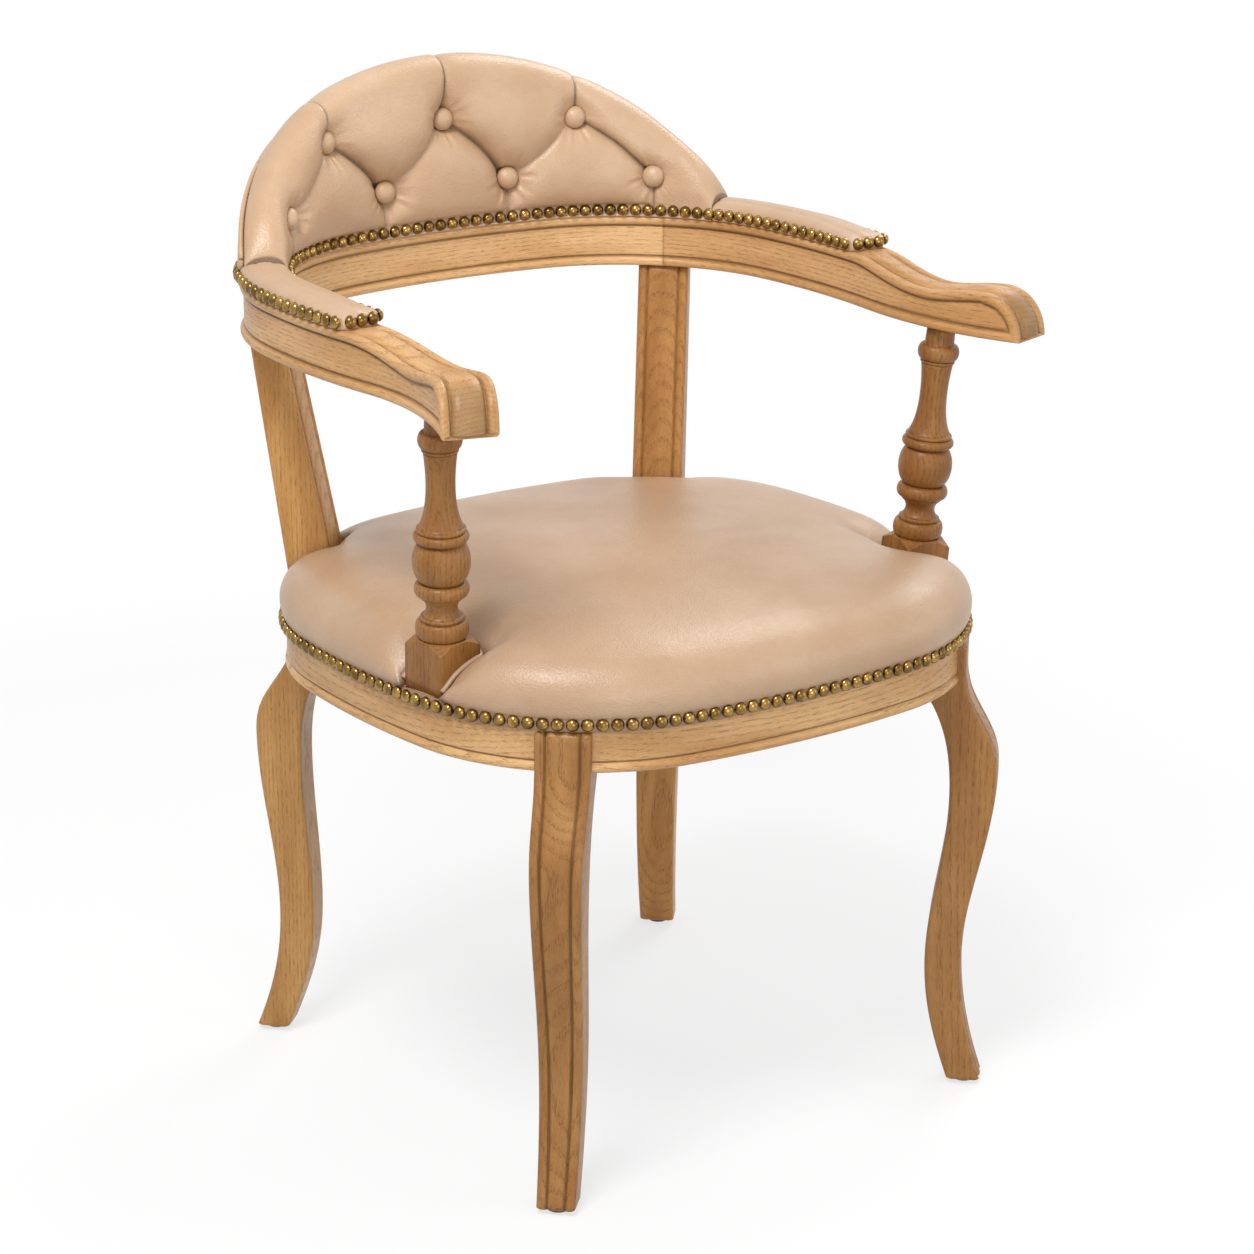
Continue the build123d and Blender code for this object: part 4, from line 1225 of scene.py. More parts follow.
@dataclass
class Moulding:
    """Bow and arms: beads along both edges of each side, a sunk face between, and rolled-over noses."""

    bottom: float = 630.0
    top: float = 674.0
    half_width: float = 20.0
    nose_half_width: float = 22.5
    nose_length: float = 33.0
    nose_crest: float = 668.0
    nose_turn: float = 17.0
    dip: float = 662.0
    dip_from_nose: float = 92.0
    rise_from_nose: float = 186.0
    joint_azimuth: float = 42.5
    edge: float = 2.8
    swell_back: float = 150.0
    swell_front: float = 20.0
    slope_step: float = 0.2
    station_step: float = 2.6
    joint_gap: float = 0.1
    joint_blend: float = 40.0
    top_groove_inset: float = 9.0
    top_groove_depth: float = 3.9
    # Across the top's groove: offset from its line, share of its depth, and painted shade
    top_groove: tuple[Triple, ...] = (
        (-3.4, 0.0, 0.0), (-2.3, 0.15, 0.05), (-1.4, 0.52, 0.4), (-0.6, 0.92, 0.85),
        (0.0, 1.0, 0.95), (0.5, 0.9, 0.85), (1.1, 0.5, 0.35), (1.9, 0.12, 0.05),
    )
    # Down a side from its edge: distance, depth cut in, and painted shade in the groove
    side_form: tuple[Triple, ...] = (
        (0.0, 2.8, 0.0), (0.25, 1.95, 0.0), (0.7, 1.2, 0.0), (1.4, 0.55, 0.0), (2.4, 0.12, 0.0),
        (3.6, 0.0, 0.0), (4.8, 0.12, 0.0), (5.9, 0.55, 0.0), (6.8, 1.3, 0.05), (7.4, 2.2, 0.3),
        (7.8, 3.3, 0.75), (8.3, 4.2, 0.95), (8.8, 4.3, 0.95), (9.3, 3.6, 0.6), (9.9, 3.15, 0.2),
        (10.8, 3.0, 0.0), (12.5, 3.0, 0.0), (60.0, 3.0, 0.0),
    )

    def top_at(self, from_nose: Array) -> Array:
        """Height of the arm's top at distances back from its nose."""
        share = np.clip((self.nose_length - from_nose) / self.nose_length, 0, 1)
        nose = self.bottom + (self.nose_crest - self.bottom) * np.sqrt(1 - share**2)
        knots = [
            (self.nose_length, self.nose_crest),
            (self.dip_from_nose, self.dip),
            (self.rise_from_nose, self.top),
        ]
        return np.where(from_nose < self.nose_length, nose, hermite(from_nose, knots))

    def side_rows(self) -> Array:
        """Shares of a side's height, from its top edge down, close together at the mouldings."""
        height = self.top - self.bottom
        edges = np.array([row[0] for row in self.side_form[:-1]])
        edges = np.sort(np.concatenate([edges, (edges[1:] + edges[:-1]) / 2]))
        inner = np.linspace(edges[-1], height - edges[-1], 8)[1:-1]
        return np.concatenate([edges, inner, height - edges[::-1]]) / height

    def side_depth(self, edge_distance: Array) -> tuple[Array, Array]:
        """How far a side is cut in, and its painted shade in the groove, at a distance from its nearest edge.
        """
        form = np.array(self.side_form)
        return (
            np.interp(edge_distance, form[:, 0], form[:, 1]),
            np.interp(edge_distance, form[:, 0], form[:, 2]),
        )

    def top_form(self, half: float, groove: float) -> tuple[Array, Array, Array]:
        """Across the top: offsets, heights and painted shade in the grooves. groove is 1 where the top is
        grooved.
        """
        flat = half - self.edge
        line = half - self.top_groove_inset
        points = [(0.0, 0.3 + 1.5 * groove, 0.0), (line * 0.4, 0.26 + 1.25 * groove, 0.0)]
        points += [(line * 0.68, 0.1 + 0.55 * groove, 0.0)]
        for place, deep, shade in self.top_groove:
            points.append((line + place, -self.top_groove_depth * deep * groove, shade * groove))
        points += [((line + flat) / 2 + 1.4, 0.45 * groove, 0.0), (flat - 1.0, 0.3 * groove, 0.0)]
        points += [(flat, 0.0, 0.0)]
        right = np.array(points)
        left = right[:0:-1] * (-1, 1, 1)
        both = np.vstack([left, right])
        return both[:, 0], both[:, 1], both[:, 2]

    def groove_share(self, back: float) -> float:
        """How deep the top's grooves are, at a distance from the nose."""
        return smooth_step(back, self.rise_from_nose - 4, self.rise_from_nose - 22)

    def loft(self, name: str, lengths: Array, across: Array, arm: bool, mirrored: bool) -> Piece:
        """Builds a stretch of the bow or an arm.

        Args:
            name: Name of the new piece.
            lengths: Stations along the centre line.
            across: Direction across at each station.
            arm: Whether the stretch ends in a nose.
            mirrored: Whether it stands on the -X side.

        Returns:
            The new piece.
        """
        centres, normals = LINE.at(lengths)
        from_nose = LINE.end - np.abs(lengths) if arm else np.full(len(lengths), 1e3)
        tops = self.top_at(from_nose) if arm else np.full(len(lengths), self.top)
        shares = self.side_rows()
        rows, shades, timber = [], [], []
        for length, centre, normal, way, back, top in zip(lengths, centres, normals, across, from_nose, tops):
            swell = smooth_step(back, self.swell_back, self.swell_front)
            half = self.half_width + (self.nose_half_width - self.half_width) * swell
            half /= max(0.8, float(normal @ way))
            ahead = -left_of(way)
            behind, before = self.top_at(np.array([back + self.slope_step, back - self.slope_step]))
            slope = (behind - before) / (2 * self.slope_step) if arm else 0.0
            tilt = math.atan(slope) if back > 0.5 else math.pi / 2
            offsets, heights, glaze_and_shade = self.top_form(half, self.groove_share(back) if arm else 0.0)
            # Painted shade on the nose's front as it rolls down, heavier between the beads; it stands also
            # for the darker end grain there
            middle = smooth_step(np.abs(offsets), half - 6, half - 10)
            glaze_and_shade = np.maximum(glaze_and_shade, (0.3 + 0.45 * middle) * smooth_step(tilt, 0.1, 0.8))
            lift = top + heights * math.cos(tilt)
            push = heights * math.sin(tilt)
            line = centre + offsets[:, None] * way + push[:, None] * ahead
            top_row = raised(line, lift)
            levels = top - shares * (top - self.bottom)
            edge_top = (top - levels) * math.cos(tilt)
            if arm and back < self.nose_length:
                wide = (self.nose_length - back) / self.nose_length
                tall = (levels - self.bottom) / (self.nose_crest - self.bottom)
                edge_top = (1 - np.hypot(wide, tall)) * self.nose_length
            # dark is the painted shade in the side's groove
            depth, dark = self.side_depth(np.minimum(np.maximum(edge_top, 0), levels - self.bottom))
            sides, cuts = [], [np.column_stack([offsets, lift - self.bottom, length + push])]
            for sign in (1, -1):
                reach = sign * (half - depth)
                sides.append(raised(centre + reach[:, None] * way, levels))
                cuts.append(raised(np.column_stack([reach, levels - self.bottom]), length))
            rows.append(np.vstack([top_row, sides[0][1:], sides[1][:0:-1]]))
            timber.append(np.vstack([cuts[0], cuts[1][1:], cuts[2][:0:-1]]))
            shades.append(np.concatenate([glaze_and_shade, dark[1:], dark[:0:-1]]))
        return lofted(np.array(rows), name, mirrored, shade=np.array(shades), grain=np.array(timber))

    def radial(self, length: float) -> Array:
        """Direction of the joint over a rear post, from the seat's centre."""
        place = LINE.at(np.array([length]))[0][0] - SEAT_MIDDLE
        return place / np.linalg.norm(place)

    def build_bow(self) -> Piece:
        """Builds the back bow between its two joints."""
        joint = LINE.at_azimuth(self.joint_azimuth)
        lengths = np.linspace(-joint + self.joint_gap, joint - self.joint_gap, 170)
        across = LINE.at(lengths)[1]
        blend = smooth_step(np.abs(lengths), joint - self.joint_blend, joint)[:, None]
        ends = np.array([self.radial(length) for length in lengths])
        across = across * (1 - blend) + ends * blend
        across /= np.linalg.norm(across, axis=1, keepdims=True)
        return self.loft("oak_back_bow", lengths, across, False, False)

    def build_arm(self, name: str, mirrored: bool) -> Piece:
        """Builds an arm from its joint over the rear post to its nose."""
        joint = LINE.at_azimuth(self.joint_azimuth) + self.joint_gap
        body = np.arange(joint, LINE.end - self.nose_length - 1, self.station_step)
        bends = np.radians(np.linspace(88, 4, 34))
        nose = LINE.end - self.nose_length * (1 - np.cos(bends))
        lengths = np.concatenate([body, np.sort(nose)])
        across = LINE.at(lengths)[1]
        start = smooth_step(lengths, joint + self.joint_blend, joint)[:, None]
        across = across * (1 - start) + self.radial(joint) * start
        finish = smooth_step(LINE.end - lengths, 120.0, self.nose_length)[:, None]
        across = across * (1 - finish) + unit(self.nose_turn) * finish
        across /= np.linalg.norm(across, axis=1, keepdims=True)
        return self.loft(name, lengths, across, True, mirrored)


# Upholstered back and arm pads


@dataclass
class TuftedBack:
    """Half-moon back: leather drawn down by buttons, with pleats between them."""

    foot: float = 674.0
    spring: float = 17.0
    rise: float = 128.0
    end_azimuth: float = 52.3
    inside: float = 20.0
    outside: float = 16.0
    roll: float = 17.0
    lean: float = 5.0
    upper_row: tuple[Pair, ...] = ((-25.9, 91.0), (0.0, 96.0), (26.3, 87.5))
    lower_row: tuple[Pair, ...] = ((-41.0, 40.5), (-12.8, 40.5), (13.1, 39.5), (40.8, 35.5))
    fill: float = 19.5
    pit: float = 7.0
    pit_width: float = 17.0
    nail_band: float = 11.0
    calm_fill: float = 8.0
    button_radius: float = 9.0
    cell: float = 1.2
    tall: float = 216.0
    columns: int = 620
    face_rows: int = 110
    roll_rows: int = 19
    back_rows: int = 11
    lean_height: float = 110.0
    relax_steps: int = 3600
    skin_power: float = 0.62
    fullness: float = 1.15
    button_sink: float = 2.4
    pin_width: float = 1.1
    fold_depth: float = 3.8
    fold_near: float = 1.7
    fold_far: float = 6.5
    # Width of the painted shade line along each pleat
    dark_width: float = 1.15
    gather_height: float = 0.55
    hard_pleat: float = 1.0
    foot_pleat: float = 0.7
    soft_pleat: float = 0.2
    panel_inset: float = 6.0
    nail_inside: float = 20.6
    nail_outside: float = 20.8
    nail_height: float = 680.0
    nail_pitch: float = 11.35
    nail_rise: float = 0.12

    def __post_init__(self) -> None:
        """Sets the buttons and pleats out along the bow."""
        self.end = LINE.at_azimuth(self.end_azimuth)
        self.upper = [(LINE.at_azimuth(azimuth), height) for azimuth, height in self.upper_row]
        self.lower = [(LINE.at_azimuth(azimuth), height) for azimuth, height in self.lower_row]

    def top_over(self, along: Array) -> Array:
        """Height of the top edge above the bow, at lengths along it."""
        across = LINE.at(along)[0][:, 0]
        half_width = LINE.at(np.array([self.end]))[0][0, 0] + 0.2
        return self.spring + self.rise * np.maximum(0, 1 - (across / half_width) ** 2) ** 0.57

    def pleats(self) -> list[tuple[Array, float]]:
        """Pleats as lines over length and height, with how hard each is drawn down."""
        lines = []
        for index, (along, height) in enumerate(self.upper):
            left, right = self.lower[index], self.lower[index + 1]
            bow_out = ((along + right[0]) / 2 + 3, (height + right[1]) / 2 + 3)
            lines.append((curve_through([(along, height), bow_out, right], 24), self.hard_pleat))
            soft = ((along + left[0]) / 2 - 2, (height + left[1]) / 2 - 3)
            lines.append((curve_through([(along, height), soft, left], 24), self.soft_pleat))
            lines.append((np.array([(along, height), (along + 1, self.tall)]), self.hard_pleat))
        for along, height in self.lower:
            lines.append((np.array([(along, height), (along + 1, -10.0)]), self.foot_pleat))
        return lines

    def field(self) -> tuple[Array, Array, Array, Array, Array]:
        """Solves the stuffed leather as a blown skin held down along its pleats.

        Returns:
            Lengths and heights of the grid, the padding's height, the depth of pleats and buttons' pits, and
            the painted shade along the pleats and round the buttons.
        """
        along = np.arange(-self.end - 12, self.end + 12.1, self.cell)
        height = np.arange(-6, self.tall, self.cell)
        place = np.stack(np.meshgrid(along, height, indexing="ij"), -1)
        hold = np.zeros(place.shape[:2])
        dark = np.zeros(place.shape[:2])
        crease = np.zeros(place.shape[:2])
        for line, strength in self.pleats():
            gap, side = nearest_on(place, line)
            pin = np.exp(-((gap / (self.pin_width * self.cell)) ** 2)) * strength
            hold = np.maximum(hold, pin if strength > 0.5 else pin * 0.35)
            fold = np.where(side > 0, np.exp(-gap / self.fold_near), np.exp(-gap / self.fold_far))
            crease = np.maximum(crease, fold * strength * self.fold_depth)
            # Painted shade along each pleat's crease
            dark = np.maximum(dark, np.exp(-((gap / self.dark_width) ** 2)) * strength)
        for button in self.upper + self.lower:
            gap = np.hypot(place[..., 0] - button[0], place[..., 1] - button[1])
            hold = np.maximum(hold, smooth_step(gap, self.button_radius, self.button_radius - 3))
        edge = np.abs(np.abs(along) - self.end - 4)[:, None] + 0 * height
        hold = np.maximum(hold, np.exp(-((edge / 2.5) ** 2)))
        hold[:, height < self.nail_band] = 1.0
        skin = np.zeros(place.shape[:2])
        for _ in range(self.relax_steps):
            skin[1:-1, 1:-1] = (
                skin[2:, 1:-1] + skin[:-2, 1:-1] + skin[1:-1, 2:] + skin[1:-1, :-2]
            ) / 4 + self.cell**2
            skin[:, -1] = skin[:, -2]
            skin[0], skin[-1] = skin[1], skin[-2]
            skin *= 1 - hold
        full = (skin / np.percentile(skin, 90)) ** self.skin_power
        padding = self.fill * np.tanh(full * self.fullness) / math.tanh(self.fullness)
        pits = np.zeros(place.shape[:2])
        for button in self.upper + self.lower:
            offset = place - np.array(button)
            gap = np.hypot(offset[..., 0], offset[..., 1])
            spread = np.maximum(gap - self.button_radius, 0)
            pits = np.maximum(pits, self.pit * np.exp(-((spread / self.pit_width) ** 2) - spread / 14))
            turn = np.arctan2(offset[..., 1], offset[..., 0])
            gather = np.cos(11 * turn + button[0]) + 0.6 * np.cos(17 * turn + 2.0)
            near = np.exp(-((spread - 6) / 9) ** 2) * smooth_step(spread, 0.0, 5.0)
            padding += self.gather_height * gather * near
            # Painted shade in a ring round each button
            dark = np.maximum(dark, 0.75 * np.exp(-((gap - self.button_radius) / 1.3) ** 2))
        return along, height, padding, crease + pits, dark

    def sample(self, table: Array, along: Array, height: Array, at: float, up: Array) -> Array:
        """Values of a grid between its points, up one of its lines."""
        x = np.clip((at - along[0]) / self.cell, 0, len(along) - 1.001)
        y = np.clip((up - height[0]) / self.cell, 0, len(height) - 1.001)
        left, low = int(x), y.astype(int)
        right_share, high_share = x - left, y - low
        lower = table[left, low] * (1 - right_share) + table[left + 1, low] * right_share
        upper = table[left, low + 1] * (1 - right_share) + table[left + 1, low + 1] * right_share
        return lower * (1 - high_share) + upper * high_share

    def shoulder(self, top: float) -> float:
        """Height where the roll over the top starts."""
        return top - min(self.roll, top * 0.5)

    def section(self, station: float, top: float) -> tuple[Array, Array, Array]:
        """One plain section of the back: a leaning face under a roll, turning to an arch at the ends.

        Args:
            station: Length along the bow.
            top: Height of the top edge there.

        Returns:
            Distances outwards, heights and lengths along the section, from its foot inside.
        """
        shoulder = self.shoulder(top)
        up = np.linspace(0, 1, self.face_rows) * shoulder
        base = -self.inside + self.lean * min(1.0, shoulder / self.lean_height) ** 2 * (up / shoulder) ** 2
        turns = np.radians(np.linspace(180, 0, self.roll_rows + 1))[1:]
        middle, wide = (base[-1] + self.outside) / 2, (self.outside - base[-1]) / 2
        down = np.linspace(shoulder, 0, self.back_rows + 1)[1:]
        x = np.concatenate([base, middle + wide * np.cos(turns), np.full(len(down), self.outside)])
        y = np.concatenate([up, shoulder + (top - shoulder) * np.sin(turns), down])
        path = run_along(np.stack([x, y], -1))
        bends = np.linspace(math.pi, 0, 241)
        wide = (self.outside + self.inside) / 2 * np.abs(np.cos(bends)) ** 0.8 * np.sign(np.cos(bends))
        arch_x, arch_y = (self.outside - self.inside) / 2 + wide, top * np.abs(np.sin(bends)) ** 0.8
        reach = run_along(np.stack([arch_x, arch_y], -1))
        share = path / path[-1] * reach[-1]
        blend = smooth_step(abs(station), self.end - 120, self.end - 25)
        inner = blend * smooth_step(path / path[-1], 0.62, 0.4)
        x = x * (1 - inner) + np.interp(share, reach, arch_x) * inner
        y = y * (1 - inner) + np.interp(share, reach, arch_y) * inner
        return x, y, run_along(np.stack([x, y], -1))

    def build(self) -> Piece:
        """Builds the cushion: tufted face, rolled top, and the plain side behind."""
        along, height, padding, drawn, dark = self.field()
        share = np.linspace(-1, 1, self.columns)
        stations = self.end * (0.4 * share + 0.6 * np.sin(share * math.pi / 2))
        centres, normals = LINE.at(stations)
        fade = 0.5 + 0.5 * np.cos(np.linspace(0, np.pi, self.roll_rows))
        keep = np.concatenate([np.ones(self.face_rows), fade, np.zeros(self.back_rows)])
        rows, shades = [], []
        for station, centre, normal, top in zip(stations, centres, normals, self.top_over(stations)):
            shoulder, reach = self.shoulder(top), abs(station)
            x, y, path = self.section(station, top)
            # The second table sampled here is the painted shade of the pleats and buttons
            puff, painted_crease_shade, fold = (
                self.sample(table, along, height, station, path) for table in (padding, dark, drawn)
            )
            way = np.stack([-np.gradient(y), np.gradient(x)], -1)
            way /= np.linalg.norm(way, axis=1, keepdims=True) + 1e-9
            near_end = smooth_step(reach, self.end - 84, self.end - 34)
            calm = np.maximum(smooth_step(path, shoulder - 46, shoulder + 12), near_end)
            plain = self.calm_fill * (1 - 0.75 * near_end)
            plain = plain * smooth_step(path, self.nail_band, self.nail_band + 16)
            plain = plain * smooth_step(reach, self.end + 1, self.end - 16)
            puff = (puff * (1 - calm) + plain * calm - fold) * keep
            x = x + way[:, 0] * puff
            y = y + way[:, 1] * puff * smooth_step(path, 0.0, 20.0)
            rows.append(raised(centre + x[:, None] * normal, self.foot + y))
            # Painted shade in a line at each end, where the back meets the arm pad
            painted_seam_shade = 0.8 * smooth_step(reach, self.end - 0.5, self.end)
            shades.append(np.maximum(painted_crease_shade * keep, painted_seam_shade))
        return lofted(np.array(rows), "leather_back_cushion", shade=np.array(shades))

    def buttons(self) -> tuple[Array, Array]:
        """Places and facings of the buttons, sunk in the leather."""
        places, facings = [], []
        for along, height in self.upper + self.lower:
            centre, normal = LINE.at(np.array([along]))
            x, y, path = self.section(along, float(self.top_over(np.array([along]))[0]))
            depth, up = np.interp(height, path, x) + self.button_sink, np.interp(height, path, y)
            high, low = np.interp((height + self.button_radius, height - self.button_radius), path, x)
            places.append([*(centre[0] + normal[0] * depth), self.foot + up])
            facings.append([*(-normal[0]), 0.06 + (high - low) / (2 * self.button_radius)])
        return np.array(places), np.array(facings)

    def build_outside(self, drop: float = 16.0, low: float = 16.4, thick: float = 3.6) -> Piece:
        """Leather panel over the outside of the back, gently stuffed, with a turned edge."""
        reach = self.end - self.panel_inset
        stations = np.linspace(-reach, reach, 180)
        centres, normals = LINE.at(stations)
        tops = np.maximum(self.top_over(stations) - drop, 6.0)
        rows = []
        for centre, normal, top in zip(centres, normals, tops):
            up = np.concatenate([[0.0, 0.0, 0.6], np.linspace(0.02, 0.98, 26) * top, [top - 0.6, top, top]])
            swell = np.concatenate([[0.0, 0.6, 1.0], np.ones(26), [1.0, 0.6, 0.0]])
            crown = 1.2 * np.sin(np.pi * np.clip(up / top, 0, 1))
            x = low + thick * swell + crown * swell
            rows.append(raised(centre + x[:, None] * normal, self.foot + up))
        return lofted(np.array(rows), "leather_outside_back")

    def build_outside_welt(self, drop: float = 14.5, reach_out: float = 18.2) -> Piece:
        """Piping along the top edge of the outside panel."""
        reach = self.end - self.panel_inset
        stations = np.linspace(-reach, reach, 220)
        centres, normals = LINE.at(stations)
        tops = np.maximum(self.top_over(stations) - drop, 7.0)
        path = raised(centres + normals * reach_out, self.foot + tops)
        return lofted(tube(path, 2.0), "leather_outside_welt")

    def build_edge(self) -> Piece:
        """Cut edge of the leather under the back's nails."""
        centres, normals = LINE.at(np.linspace(-self.end, self.end, 200))
        section = [(-19.0, 0.1), (-20.3, 0.15), (-20.8, 0.6), (-20.8, 1.6), (-20.3, 2.2), (-19.0, 2.2)]
        rows = np.array([raised(centres + x * normals, self.foot + y) for x, y in section])
        # The cut edge is dimmed with painted shade
        return lofted(rows.transpose(1, 0, 2), "leather_back_edge", shade=0.25)

    def nails(self, outside: bool) -> tuple[Array, Array]:
        """Places and facings of the nails along the back's foot, inside or outside."""
        reach = self.end - 2
        count = round(2 * reach * (1.08 if outside else 0.92) / self.nail_pitch)
        centres, normals = LINE.at(np.linspace(-reach, reach, count))
        sign, offset = (1, self.nail_outside) if outside else (-1, self.nail_inside)
        places = raised(centres + sign * offset * normals, self.nail_height)
        return places, raised(sign * normals, self.nail_rise)


@dataclass
class ArmPad:
    """Stuffed leather pad along the top of an arm, from the back to just short of the dip."""

    foot: float = 674.0
    height: float = 18.0
    half_width: float = 19.6
    front: float = 187.0
    side: float = 9.5
    roll: float = 12.5
    back_round: float = 6.0
    front_round: float = 14.0
    front_taper: float = 5.0
    start_azimuth: float = 52.3
    nail_height: float = 680.2
    nail_pitch: float = 11.35
    nail_stand: float = 0.3
    nail_rise: float = 0.12
    front_nails: tuple[float, ...] = (-10.6, 0.0, 10.6)

    def span(self) -> Pair:
        """Lengths along the arm's line where the pad starts and ends."""
        return LINE.at_azimuth(self.start_azimuth) + 0.6, LINE.end - self.front

    def build(self, name: str, mirrored: bool) -> Piece:
        """Lofts the pad."""
        start, end = self.span()
        lengths = np.concatenate([
            start + np.array([0.0, 0.5, 1.2, 2.4, 4.0, 6.0]),
            np.linspace(start + 9, end - 15, 60),
            end - np.array([12.0, 10.0, 8.0, 6.0, 4.4, 3.0, 1.9, 1.0, 0.4, 0.1, 0.0]),
        ])
        centres, normals = LINE.at(lengths)
        rows = []
        # Painted shade in a line at the back end, where the pad meets the back
        painted_seam_shade = 0.8 * smooth_step(lengths, start + 1.0, start)[:, None]
        for length, centre, normal in zip(lengths, centres, normals):
            back_ease = max(0.0, 1 - (length - start) / self.back_round)
            front_ease = max(0.0, 1 - (end - length) / self.front_round)
            lower = 1 - math.sqrt(max(0.0, 1 - max(back_ease, front_ease) ** 2))
            share = 0.5 + 0.5 * smooth_step(end - length, 0, 70)
            tall = self.side + (self.height - self.side) * share
            top = tall - lower * (tall - self.side + 0.5) * (0.3 if back_ease > 0 else 0.85)
            half = self.half_width - self.front_taper * (1 - math.sqrt(max(0.0, 1 - front_ease**2)))
            bends = np.radians(np.linspace(0, 90, 12))
            x = half - self.roll + self.roll * np.cos(bends) ** 0.9
            y = self.side + (top - 1.4 - self.side) * np.sin(bends)
            across = np.concatenate([[half - 1.4, half - 0.4, half], x, [half * 0.2, 0.0]])
            up = np.concatenate([[0.15, 0.3, 1.2], y, [top - 0.15, top]])
            right = np.column_stack([across, up])
            section = np.vstack([right, right[-2::-1] * (-1, 1)])
            rows.append(raised(centre + section[:, :1] * normal, self.foot + section[:, 1]))
        return lofted(np.array(rows), name, mirrored, shade=painted_seam_shade)

    def nails(self) -> tuple[Array, Array]:
        """Places and facings of the nails on both long sides and across the front end."""
        start, end = self.span()
        places, facings = [], []
        for sign in (1, -1):
            first, last = start + 8, end - 6
            count = round((last - first) * (1.05 if sign > 0 else 0.95) / self.nail_pitch)
            centres, normals = LINE.at(np.linspace(first, last, count + 1))
            stand = sign * (self.half_width + self.nail_stand)
            places.append(raised(centres + stand * normals, self.nail_height))
            facings.append(raised(sign * normals, self.nail_rise))
        centre, normal = LINE.at(np.array([end]))
        ahead = -left_of(normal[0])
        for offset in self.front_nails:
            places.append([[*(centre[0] + normal[0] * offset + ahead * self.nail_stand), self.nail_height]])
            facings.append([[*ahead, self.nail_rise]])
        return np.vstack(places), np.vstack(facings)


def nearest_on(places: Array, line: Array) -> tuple[Array, Array]:
    """Nearest point of a line to each place.

    Args:
        places: Points, in the last axis.
        line: Corners of the line.

    Returns:
        Distance, and side: positive on the left of the line.
    """
    best = np.full(places.shape[:-1], 1e9)
    side = np.zeros(places.shape[:-1])
    for start, end in zip(line, line[1:]):
        way = end - start
        offset = places - start
        part = np.clip((offset @ way) / (way @ way), 0, 1)
        rest = offset - part[..., None] * way
        gap = np.hypot(rest[..., 0], rest[..., 1])
        nearer = gap < best
        best = np.where(nearer, gap, best)
        cross = way[0] * offset[..., 1] - way[1] * offset[..., 0]
        side = np.where(nearer, np.sign(cross), side)
    return best, side


# Domed heads set along rows: nails and buttons


